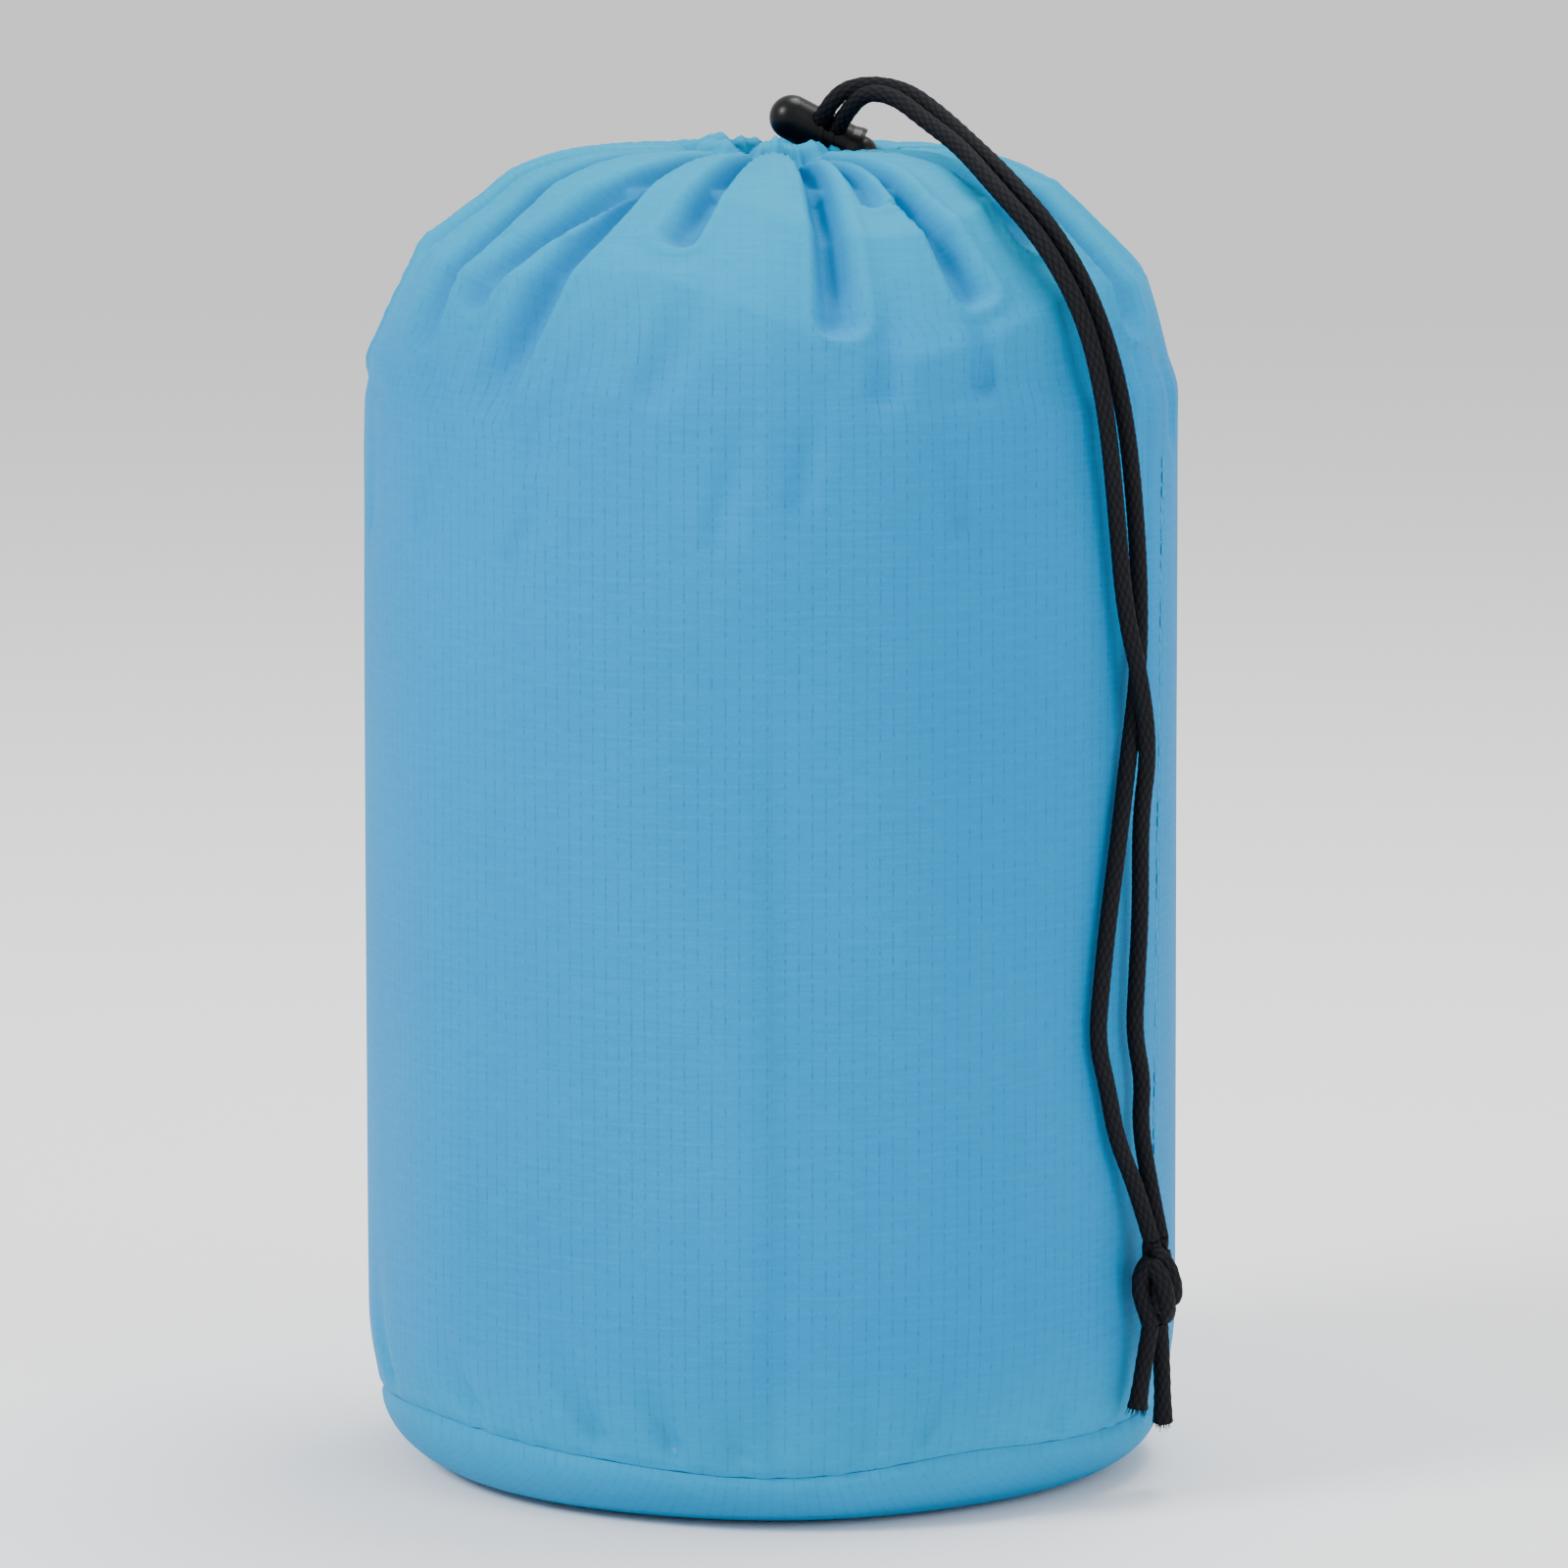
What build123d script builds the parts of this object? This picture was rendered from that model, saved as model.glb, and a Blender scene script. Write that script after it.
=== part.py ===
from build123d import *
import math
import os

# A bivy sack rolled up in its drawcord stuff sack, standing on its round base.
# Millimetres. Origin: centre of the base on the ground. +Z up, -Y the front, +X the viewer's right.

# ---- stuff sack ---------------------------------------------------------------------------------
sack_radius = 74.6            # filled sack, outside of the cloth
cloth = 0.6                   # thickness of the solid that stands for one layer of cloth
contact_radius = 56.0         # flat round patch that the sack stands on
seam_radius = 72.3            # where the side wall is sewn to the base panel
seam_height = 10.5
wall_foot_height = 30.0       # above this the wall is upright
shoulder_height = 195.0       # above this the wall turns in towards the mouth
shoulder_arc = 46.0
crest_arc = 10.0              # rounded crest around the dimple of the drawn mouth
dimple_slope = 45.0           # degrees, the slope from the crest down into the mouth
part_gap = 0.3                # between neighbouring solids that are sewn together

tape_thickness = 1.0
tape_height = 4.6
side_seam_azimuth = 68.0      # degrees from the front towards the viewer's right
side_seam_width = 8.0
side_seam_bottom = 30.0
side_seam_top = 190.0

# ---- hem channel of the mouth, gathered into a rosette ------------------------------------------
channel_radius = 16.0
channel_bottom = 228.6
channel_top = 235.0
ring_radius = 12.5            # centre line of the drawcord inside the channel
ring_height = 232.0
tunnel_radius = 2.4           # half the width of the tunnel that the cord runs in
slit_inner, slit_outer = 7.9, 15.0
slit_start, slit_size = 8.0, 104.0    # degrees counter-clockwise from +X
bartack = (5.2, 1.2, 0.5)

# ---- drawcord -----------------------------------------------------------------------------------
cord_diameter = 3.2
bend_share = 0.45              # share of the shorter run that a bend's tangent may use

# both strands leave the lock side by side, arch up and lie down the right of the sack's front
tail_front_route = [
    (12.38, -2.83, 245.81), (14.0, -7.0, 248.9), (17.2, -10.9, 252.0), (22.3, -14.9, 251.2),
    (27.8, -20.6, 247.0), (33.6, -29.5, 243.0), (39.6, -40.8, 236.4), (48.2, -47.6, 226.9),
    (55.3, -51.4, 213.7), (59.0, -51.6, 197.5), (61.0, -48.3, 178.5), (62.6, -46.2, 161.5),
    (68.5, -46.9, 149.0), (70.1, -44.5, 136.0), (66.5, -40.8, 124.0), (66.0, -40.1, 107.0),
    (65.3, -40.8, 94.0), (64.9, -41.4, 85.0), (66.7, -38.5, 76.0), (66.1, -39.4, 68.5),
    (67.9, -37.6, 57.5), (69.96, -37.58, 47.4),
]
tail_back_route = [
    (9.37, -2.83, 247.39), (10.45, -5.59, 249.44), (13.2, -7.0, 252.3), (18.4, -8.0, 253.3),
    (24.6, -11.4, 252.1), (29.9, -17.3, 248.4), (35.2, -25.6, 243.9), (42.2, -36.8, 237.6),
    (51.0, -44.2, 227.5), (57.8, -48.3, 214.3), (62.3, -47.6, 198.0), (64.6, -43.3, 179.0),
    (65.6, -40.3, 161.0), (65.2, -40.4, 148.5), (63.6, -42.9, 136.0), (61.9, -45.3, 121.5),
    (59.8, -48.1, 106.0), (58.6, -49.5, 94.0), (57.9, -50.3, 85.0), (60.1, -47.8, 75.5),
    (61.7, -46.1, 66.5), (65.5, -41.9, 57.0), (68.24, -40.62, 47.4),
]
end_left_route = [(68.24, -40.62, 31.8), (66.9, -41.0, 24.0), (65.9, -41.3, 16.6)]
end_right_route = [(69.96, -37.58, 31.8), (70.7, -35.4, 22.5), (70.9, -33.2, 12.6)]

# the loop: out of the lock's far side, down into the channel, round it, and back up
neck_back_route = [(9.37, -2.83, 247.39), (6.37, 4.83, 241.71), (4.6, 9.4, 237.4), (0.6, 12.4, 232.6)]
neck_front_route = [(12.38, -2.83, 245.81), (9.38, 4.83, 240.12), (9.5, 8.3, 236.2), (12.3, 5.0, 232.2)]
ring_start, ring_step, ring_points = 118.0, 31.5, 8     # degrees, the cord's corners round the channel

knot_centre = (69.1, -39.1, 39.6)
knot_turn = 60.5              # degrees, sets the knot's broad side along the wall
knot_size = (10.4, 7.6, 15.6)

# ---- cord lock, in its own frame: z from the closed end along the barrel, x out of the hole -----
lock_end = (0.0, 1.0, 248.7)
lock_axis = (0.8846, 0.0, -0.4664)
hole_axis = (0.2998, -0.7660, 0.5686)
barrel_radius = 4.1
barrel_length = 17.4
mouth_radius = 4.5
mouth_start, mouth_full = 15.2, 16.6
bore_radius = 3.36
bore_start = 3.3
pocket_radius = 2.6
pocket_start = 1.7
slot_start, slot_end, slot_width = 7.2, 14.0, 3.7
plunger_radius = 3.3
plunger_start, plunger_end = 5.9, 21.4
plunger_slot_end = 16.6
rib_height, rib_width, rib_tilt = 0.35, 0.8, 30.0
rib_places = (11.9, 14.0)
spring_radius, spring_wire, spring_turns = 2.15, 0.35, 3.0
spring_start, spring_end = 1.95, 5.65

# ---- rolled bivy sack inside --------------------------------------------------------------------
roll_bottom, roll_top = 1.2, 192.0
roll_inner, roll_pitch, roll_half_turns = 8.0, 8.0, 15
sheet_thickness = 3.4         # one folded layer of the roll
zip_azimuth = 180.0
zip_tape = (24.0, 0.4, 170.0)
zip_distance = 69.0
zip_tooth_pitch, zip_tooth_depth, zip_teeth = 2.5, 0.8, 54
zip_chain_width, zip_chain_thickness = 4.6, 1.6
hood_ring_radius, hood_cord_diameter = 40.0, 2.5
hood_lock = (8.0, 14.0, 7.0)


def wall_outline(inset):
    """Side wall from the base seam to the mouth, moved inwards by inset, as a list of edges."""
    foot_rise = wall_foot_height - seam_height - part_gap
    foot_run = sack_radius - seam_radius
    foot_arc = (foot_rise**2 + foot_run**2) / (2 * foot_run)
    foot_angle = math.degrees(math.asin(foot_rise / foot_arc))
    crest_centre = (sack_radius - shoulder_arc, shoulder_height + shoulder_arc - crest_arc)
    foot = CenterArc((sack_radius - foot_arc, wall_foot_height), foot_arc - inset, -foot_angle, foot_angle)
    shoulder = CenterArc((crest_centre[0], shoulder_height), shoulder_arc - inset, 0, 90)
    crest = CenterArc(crest_centre, crest_arc - inset, 90, dimple_slope)
    upright = Line(foot @ 1, shoulder @ 0)
    slide = (crest % 1) * ((crest @ 1).X - channel_radius - 0.7) * math.sqrt(2)
    dimple = Line(crest @ 1, crest @ 1 + slide)
    return [foot, upright, shoulder, crest, dimple]


def base_outline(inset):
    """Base panel from its centre to the base seam, moved inwards by inset, as a list of edges."""
    run = seam_radius - contact_radius
    arc = (run**2 + seam_height**2) / (2 * seam_height)
    rim_angle = math.degrees(math.atan2(seam_height - arc, run))
    flat = Line((0, inset), (contact_radius, inset))
    rim = CenterArc((contact_radius, arc), arc - inset, -90, rim_angle + 90)
    return [flat, rim]


def shell(outer, inner):
    """Turned shell between two outlines that run the same way."""
    first = Line(outer[0] @ 0, inner[0] @ 0)
    last = Line(outer[-1] @ 1, inner[-1] @ 1)
    edges = [edge for edge in outer + inner + [first, last] if edge.length > 1e-6]
    section = make_face(Plane.XZ * (Curve() + edges))
    return revolve(section, Axis.Z)


def ring(points, start=0.0, arc=360.0):
    """Turned ring of a polygon given as radius and height."""
    section = make_face(Plane.XZ * Polyline(*points, close=True))
    return Rot(0, 0, start) * revolve(section, Axis.Z, arc)


def box_ring(inner, outer, low, high, start=0.0, arc=360.0):
    """Turned ring of rectangular section."""
    return ring([(inner, low), (outer, low), (outer, high), (inner, high)], start, arc)


def corner_radii(points):
    """Radius for each corner: 0.45 of the shorter run over the tangent of half the turn."""
    radii = []
    for before, here, after in zip(points, points[1:], points[2:]):
        run_in = Vector(*here) - Vector(*before)
        run_out = Vector(*after) - Vector(*here)
        half_turn = math.radians(run_in.get_angle(run_out)) / 2
        radii.append(bend_share * min(run_in.length, run_out.length) / math.tan(half_turn))
    return radii


def cord_tube(name, points, diameter):
    """Round cord along straight runs joined by tangent arcs."""
    radii = corner_radii(points)
    path = FilletPolyline(*points, radius=radii)
    profile = Plane(origin=path @ 0, z_dir=path % 0) * Circle(diameter / 2)
    tube = sweep(profile, path=path)
    share = tube.volume / (path.length * math.pi * diameter**2 / 4)
    print(f"{name}: length {path.length:.1f}, volume over section x length {share:.4f}")
    print("  radii", " ".join(f"{radius:.1f}" for radius in radii))
    return tube


def wall_place(azimuth, distance, height):
    """Frame on the sack's side: x along the wall, y outwards, z up."""
    turn = math.radians(azimuth)
    return Location((distance * math.sin(turn), -distance * math.cos(turn), height), (0, 0, azimuth - 180))


# ---- stuff sack ---------------------------------------------------------------------------------
def make_sack_wall():
    return shell(wall_outline(0), wall_outline(cloth))


def make_base_panel():
    return shell(base_outline(0), base_outline(cloth))


def make_base_seam_tape():
    outer = seam_radius - cloth - 0.4
    low = seam_height + 0.4
    return box_ring(outer - tape_thickness, outer, low, low + tape_height)


def make_side_seam_tape():
    outer = sack_radius - cloth - 0.3
    width = math.degrees(side_seam_width / outer)
    start = side_seam_azimuth - 90 - width / 2
    return box_ring(outer - cloth, outer, side_seam_bottom, side_seam_top, start, width)


def make_drawcord_channel():
    rosette = ring([
        (0, channel_bottom), (channel_radius - 2, channel_bottom), (channel_radius, channel_bottom + 2),
        (channel_radius, channel_top - 1.2), (channel_radius - 1.2, channel_top),
        (slit_inner - 1.5, channel_top), (2, channel_top - 3.0), (0, channel_top - 3.0),
    ])
    tunnel_low, tunnel_high = ring_height - tunnel_radius, ring_height + tunnel_radius - 0.6
    tunnel = box_ring(ring_radius - tunnel_radius, ring_radius + tunnel_radius, tunnel_low, tunnel_high)
    slit = box_ring(slit_inner, slit_outer, tunnel_low, channel_top + 1, slit_start, slit_size)
    return rosette - tunnel - slit


def make_channel_bartacks():
    place = Pos(slit_inner + bartack[0] / 2 + 0.6, 0, channel_top + bartack[2] / 2)
    bar = place * Box(*bartack)
    ends = (slit_start - 5, slit_start + slit_size + 5)
    return Compound([Rot(0, 0, turn) * bar for turn in ends])


# ---- drawcord -----------------------------------------------------------------------------------
def make_drawcord_loop():
    corners = []
    for number in range(ring_points):
        turn = math.radians(ring_start + ring_step * number)
        corners.append((ring_radius * math.cos(turn), ring_radius * math.sin(turn), ring_height))
    return cord_tube("drawcord_loop", neck_back_route + corners + neck_front_route[::-1], cord_diameter)


def make_drawcord_knot():
    knot = Box(*knot_size)
    knot = fillet(knot.edges().filter_by(Axis.Z), knot_size[1] / 2 - 0.2)
    knot = fillet(knot.edges().group_by(Axis.Z)[0] + knot.edges().group_by(Axis.Z)[-1], 0.8)
    return Location(knot_centre, (0, 0, knot_turn)) * knot


# ---- cord lock ----------------------------------------------------------------------------------
lock_place = Plane(origin=lock_end, x_dir=hole_axis, z_dir=lock_axis).location


def slot_cutter(start, end):
    """Cutter along local x for the hole that both strands pass through."""
    outline = Plane.YZ * (Pos(0, (start + end) / 2) * SlotOverall(end - start, slot_width, 90))
    return extrude(outline, 8, both=True)


def make_lock_barrel():
    dome = CenterArc((0, barrel_radius), barrel_radius, -90, 90)
    outside = Polyline(dome @ 1, (barrel_radius, mouth_start), (mouth_radius, mouth_full),
                       (mouth_radius, barrel_length), (bore_radius, barrel_length), (bore_radius, bore_start),
                       (pocket_radius, bore_start), (pocket_radius, pocket_start), (0, pocket_start), (0, 0))
    barrel = revolve(make_face(Plane.XZ * (dome + outside)), Axis.Z)
    for place in rib_places:
        sleeve = Cylinder(barrel_radius + rib_height, 12) - Cylinder(barrel_radius - 0.2, 12)
        slab = Rot(0, rib_tilt, 0) * Box(20, 20, rib_width)
        barrel += Pos(0, 0, place) * (sleeve & slab)
    return lock_place * (barrel - slot_cutter(slot_start, slot_end))


def make_lock_plunger():
    stem_end = plunger_end - plunger_radius
    dome = CenterArc((0, stem_end), plunger_radius, 0, 90)
    stem = Polyline(dome @ 1, (0, plunger_start), (plunger_radius, plunger_start), dome @ 0)
    plunger = revolve(make_face(Plane.XZ * (dome + stem)), Axis.Z)
    return lock_place * (plunger - slot_cutter(slot_start, plunger_slot_end))


def make_lock_spring():
    height = spring_end - spring_start
    path = Helix(pitch=height / spring_turns, height=height, radius=spring_radius)
    section = Plane(origin=path @ 0, z_dir=path % 0) * Circle(spring_wire / 2)
    return lock_place * (Pos(0, 0, spring_start) * sweep(section, path=path, is_frenet=True))


# ---- rolled bivy sack ---------------------------------------------------------------------------
def make_sheet(turned):
    """One of two sheets rolled up together: half circles about two centres, each 4 mm wider."""
    half_pitch = roll_pitch / 2
    faces_in, faces_out = [], []
    for number in range(roll_half_turns):
        centre = (-half_pitch / 2 * (-1) ** number, 0)
        radius = roll_inner + half_pitch * number
        start = 180 * (number % 2)
        faces_in.append(CenterArc(centre, radius - sheet_thickness / 2, start, 180))
        faces_out.append(CenterArc(centre, radius + sheet_thickness / 2, start, 180))
    ends = [Line(faces_in[0] @ 0, faces_out[0] @ 0), Line(faces_in[-1] @ 1, faces_out[-1] @ 1)]
    section = make_face(Curve() + faces_in + faces_out + ends)
    sheet = Pos(0, 0, roll_bottom) * extrude(section, roll_top - roll_bottom)
    corner = ring([(contact_radius - 3, 0), (80, 0), (80, 40), (sack_radius - 3, seam_height + 9),
                   (seam_radius - 4, seam_height + 1)])
    return Rot(0, 0, 180 if turned else 0) * (sheet - corner)


def make_zip_tape():
    width, thickness, length = zip_tape
    return wall_place(zip_azimuth, zip_distance + thickness / 2, 17 + length / 2) * Box(width, thickness, length)


def make_zip_chain():
    """Two rows of meshed teeth as one toothed strip."""
    half = zip_chain_width / 2
    right = []
    for number in range(zip_teeth):
        low = number * zip_tooth_pitch
        right += [(half, low), (half, low + zip_tooth_pitch / 2)]
        right += [(half - zip_tooth_depth, low + zip_tooth_pitch / 2), (half - zip_tooth_depth, low + zip_tooth_pitch)]
    left = [(-across, along) for across, along in reversed(right)]
    strip = extrude(make_face(Plane.XZ * Polyline(*right, *left, close=True)), zip_chain_thickness / 2, both=True)
    middle = zip_distance + zip_tape[1] + zip_chain_thickness / 2
    return wall_place(zip_azimuth, middle, 18) * strip


zip_slider_low = 18 + zip_teeth * zip_tooth_pitch


def make_zip_slider():
    body = Box(8.4, 2.6, 10.5)
    body = fillet(body.edges().filter_by(Axis.Y), 2.4)
    middle = zip_distance + zip_tape[1] + 1.3
    return wall_place(zip_azimuth, middle, zip_slider_low + 5.25) * body


def make_zip_pull():
    tab = Box(5.4, 1.2, 18)
    tab = fillet(tab.edges().filter_by(Axis.Y), 2.2)
    hole = Pos(0, 0, 6) * (Rot(90, 0, 0) * Cylinder(1.4, 4))
    middle = zip_distance + zip_tape[1] + 1.3
    return wall_place(zip_azimuth, middle, zip_slider_low + 10.5 + 9) * (tab - hole)


hood_height = roll_top + 0.2 + hood_cord_diameter / 2


def make_hood_drawcord():
    gap = math.degrees(math.asin(hood_lock[0] / 2 / hood_ring_radius)) + 0.3
    path = CenterArc((0, 0, hood_height), hood_ring_radius, gap, 360 - 2 * gap)
    section = Plane(origin=path @ 0, z_dir=path % 0) * Circle(hood_cord_diameter / 2)
    return sweep(section, path=path)


def make_hood_cord_lock():
    body = Box(hood_lock[1], hood_lock[0], hood_lock[2])
    body = fillet(body.edges().filter_by(Axis.Y), 2.0)
    return Pos(hood_ring_radius + 3, 0, roll_top + 0.1 + hood_lock[2] / 2) * body


nodes = {
    "sack_wall": make_sack_wall(),
    "base_panel": make_base_panel(),
    "base_seam_tape": make_base_seam_tape(),
    "side_seam_tape": make_side_seam_tape(),
    "drawcord_channel": make_drawcord_channel(),
    "channel_bartacks": make_channel_bartacks(),
    "drawcord_loop": make_drawcord_loop(),
    "tail_front": cord_tube("tail_front", tail_front_route, cord_diameter),
    "tail_back": cord_tube("tail_back", tail_back_route, cord_diameter),
    "drawcord_knot": make_drawcord_knot(),
    "cord_end_left": cord_tube("cord_end_left", end_left_route, cord_diameter),
    "cord_end_right": cord_tube("cord_end_right", end_right_route, cord_diameter),
    "lock_barrel": make_lock_barrel(),
    "lock_plunger": make_lock_plunger(),
    "lock_spring": make_lock_spring(),
    "bivy_upper_sheet": make_sheet(turned=False),
    "bivy_floor_sheet": make_sheet(turned=True),
    "zip_tape": make_zip_tape(),
    "zip_chain": make_zip_chain(),
    "zip_slider": make_zip_slider(),
    "zip_pull": make_zip_pull(),
    "hood_drawcord": make_hood_drawcord(),
    "hood_cord_lock": make_hood_cord_lock(),
}

os.makedirs("parts", exist_ok=True)
for node, shape in nodes.items():
    export_step(shape, f"parts/{node}.step")
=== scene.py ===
"""A bivy sack rolled up in its round drawcord stuff sack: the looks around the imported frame.

Lengths are metres in the finished meshes and millimetres (MM) while a shape is worked out.
+Z is up, -Y is the front and +X is the right seen from the front.
"""

import logging
import math
from dataclasses import dataclass, field
from enum import Enum
from typing import Any, Sequence

import bpy
import numpy as np
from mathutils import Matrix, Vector


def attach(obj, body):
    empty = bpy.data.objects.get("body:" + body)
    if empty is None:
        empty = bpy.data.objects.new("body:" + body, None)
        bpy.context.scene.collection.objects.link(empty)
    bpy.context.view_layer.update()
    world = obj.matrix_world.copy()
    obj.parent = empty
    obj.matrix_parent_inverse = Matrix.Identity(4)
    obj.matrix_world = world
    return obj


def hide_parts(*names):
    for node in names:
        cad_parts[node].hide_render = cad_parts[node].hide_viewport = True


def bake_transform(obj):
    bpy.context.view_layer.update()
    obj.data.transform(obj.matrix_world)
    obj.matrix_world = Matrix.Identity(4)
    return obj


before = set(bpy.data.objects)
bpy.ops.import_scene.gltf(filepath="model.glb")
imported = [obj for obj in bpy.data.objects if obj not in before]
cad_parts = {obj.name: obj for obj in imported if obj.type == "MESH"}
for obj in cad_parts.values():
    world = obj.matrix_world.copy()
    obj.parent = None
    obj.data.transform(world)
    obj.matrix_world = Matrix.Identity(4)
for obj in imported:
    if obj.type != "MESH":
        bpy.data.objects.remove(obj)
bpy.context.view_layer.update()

LOG = logging.getLogger("bivy_sack")
MM = 0.001

Array = np.ndarray
Point = tuple[float, float, float]
Object = bpy.types.Object
Material = bpy.types.Material
Tree = bpy.types.NodeTree
Socket = bpy.types.NodeSocket


class Body(str, Enum):
    """The bodies of the frame."""

    SACK = "sack"
    LOCK = "cord_lock"
    PLUNGER = "plunger"


# ---- small helpers ------------------------------------------------------------------------------


def linear(hex_colour: str) -> tuple[float, float, float, float]:
    """Turns an sRGB hex value into the linear colour that a shader takes.

    Args:
        hex_colour: six hex digits, such as "41aad4".

    Returns:
        Red, green, blue and an alpha of one.
    """
    srgb = [int(hex_colour[i:i + 2], 16) / 255 for i in (0, 2, 4)]
    channels = [c / 12.92 if c <= 0.04045 else ((c + 0.055) / 1.055) ** 2.4 for c in srgb]
    return (channels[0], channels[1], channels[2], 1.0)


def smooth(t: Array) -> Array:
    """Smoothstep of t, held at 0 below 0 and at 1 above 1."""
    t = np.clip(t, 0.0, 1.0)
    return t * t * (3 - 2 * t)


def bell(t: Array) -> Array:
    """A bell curve: exp of minus t squared, 1 at 0 and nearly 0 from 2 on."""
    return np.exp(-t ** 2)


def wrapped(angle: Array) -> Array:
    """The same angle from minus half a turn to half a turn, in radians."""
    return (angle + math.pi) % (2 * math.pi) - math.pi


def unit(vectors: Array) -> Array:
    """Each vector divided by its length."""
    return vectors / np.maximum(np.linalg.norm(vectors, axis=-1, keepdims=True), 1e-12)


def add_node(
    tree: Tree, kind: str, settings: dict[str, Any] | None = None, inputs: dict[Any, Any] | None = None,
) -> bpy.types.Node:
    """Adds one node to a tree, with its settings and its inputs.

    Args:
        tree: the node tree.
        kind: the node's type, such as "ShaderNodeMath".
        settings: properties to set on the node.
        inputs: for each input, by name or number, a value or the output socket to link to it.

    Returns:
        The new node.
    """
    node = tree.nodes.new(kind)
    for key, value in (settings or {}).items():
        setattr(node, key, value)
    for key, value in (inputs or {}).items():
        if isinstance(value, Socket):
            tree.links.new(value, node.inputs[key])
        else:
            node.inputs[key].default_value = value
    return node


def start_material(name: str) -> tuple[Material, Tree]:
    """A new material, and its node tree with nothing in it."""
    made = bpy.data.materials.new(name)
    made.use_nodes = True
    made.node_tree.nodes.clear()
    return made, made.node_tree


def calculate(tree: Tree, operation: str, *values: Socket | float) -> Socket:
    """The result of a Math node on the values."""
    return add_node(tree, "ShaderNodeMath", {"operation": operation}, dict(enumerate(values))).outputs[0]


def remap(
    tree: Tree, value: Socket, source: tuple[float, float], target: tuple[float, float] = (0.0, 1.0),
    kind: str = "LINEAR",
) -> Socket:
    """A value taken from one range to another and held at its ends.

    Args:
        tree: the node tree.
        value: what to map.
        source: the two ends of the range it comes from.
        target: what the two ends become.
        kind: the interpolation between them.

    Returns:
        The mapped value.
    """
    return add_node(tree, "ShaderNodeMapRange", {"interpolation_type": kind}, {
        "Value": value, "From Min": source[0], "From Max": source[1],
        "To Min": target[0], "To Max": target[1]}).outputs[0]


def mix(tree: Tree, share: Socket | float, first: Any, second: Any, blend: str = "MIX") -> Socket:
    """Two colours mixed.

    Args:
        tree: the node tree.
        share: how much of the second.
        first: a colour, as hex digits or a socket.
        second: the other.
        blend: how the second is laid over the first.

    Returns:
        The mixed colour.
    """
    first, second = (linear(colour) if isinstance(colour, str) else colour for colour in (first, second))
    node = add_node(tree, "ShaderNodeMix", {"data_type": "RGBA", "blend_type": blend},
                    {0: share, 6: first, 7: second})
    return node.outputs[2]


def noise(tree: Tree, place: Socket, scale: float, detail: float, roughness: float = 0.5) -> Socket:
    """A cloudy noise from 0 to 1, with so many turns per metre."""
    return add_node(tree, "ShaderNodeTexNoise", {}, {
        "Vector": place, "Scale": scale, "Detail": detail, "Roughness": roughness}).outputs["Fac"]


def read(tree: Tree, name: str) -> Socket:
    """The value that paint stored at each point under a name."""
    return add_node(tree, "ShaderNodeAttribute", {"attribute_name": name}).outputs["Fac"]


def raised(tree: Tree, height: Socket, strength: float, distance: float) -> Socket:
    """The normal of a surface with a relief, whose height in metres is distance times the height."""
    return add_node(tree, "ShaderNodeBump", {}, {
        "Strength": strength, "Distance": distance, "Height": height}).outputs[0]


def principled(tree: Tree, inputs: dict[str, Any]) -> Socket:
    """The result of a Principled shader."""
    return add_node(tree, "ShaderNodeBsdfPrincipled", {}, inputs).outputs[0]


def shade_with(tree: Tree, shader: Socket) -> None:
    """Ends a material with its shader."""
    add_node(tree, "ShaderNodeOutputMaterial", {}, {"Surface": shader})


def grid_faces(rows: int, columns: int, closed: bool, flip: bool) -> Array:
    """The quads of a grid of points, row by row.

    Args:
        rows: number of rows of points.
        columns: number of points in a row.
        closed: whether the last column joins the first.
        flip: whether to turn the faces round.

    Returns:
        Four point numbers for each quad.
    """
    across = np.arange(columns if closed else columns - 1)
    row, column = np.meshgrid(np.arange(rows - 1), across, indexing="ij")
    following = (column + 1) % columns
    quads = np.stack(
        [row * columns + column, row * columns + following,
         (row + 1) * columns + following, (row + 1) * columns + column], axis=-1
    ).reshape(-1, 4)
    return quads[:, ::-1] if flip else quads


def make_object(
    name: str,
    points: Array,
    quads: Array,
    material: Material,
    loop_uv: Array | None = None,
    triangles: Array | None = None,
) -> Object:
    """Makes a smooth mesh object of quads, and of triangles where it has any.

    Args:
        name: the object's name.
        points: its points, in metres.
        quads: four point numbers for each quad.
        material: what it is made of.
        loop_uv: a UV for each corner of each face, quads first, in metres of cloth.
        triangles: three point numbers for each triangle, such as at a pole.

    Returns:
        The new object, linked to the scene.
    """
    extra = np.zeros((0, 3), np.int64) if triangles is None else triangles
    corners = np.concatenate([quads.reshape(-1), extra.reshape(-1)]).astype(np.int32)
    sizes = np.concatenate([np.full(len(quads), 4), np.full(len(extra), 3)]).astype(np.int32)
    starts = np.concatenate([[0], np.cumsum(sizes)[:-1]]).astype(np.int32)
    mesh = bpy.data.meshes.new(name)
    mesh.vertices.add(len(points))
    mesh.vertices.foreach_set("co", np.asarray(points, np.float32).reshape(-1))
    mesh.loops.add(len(corners))
    mesh.loops.foreach_set("vertex_index", corners)
    mesh.polygons.add(len(sizes))
    mesh.polygons.foreach_set("loop_start", starts)
    mesh.polygons.foreach_set("use_smooth", np.ones(len(sizes), bool))
    if loop_uv is not None:
        layer = mesh.uv_layers.new(name="cloth")
        layer.data.foreach_set("uv", np.asarray(loop_uv, np.float32).reshape(-1))
    mesh.update(calc_edges=True)
    mesh.validate()
    mesh.materials.append(material)
    made = bpy.data.objects.new(name, mesh)
    bpy.context.scene.collection.objects.link(made)
    return made


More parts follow.
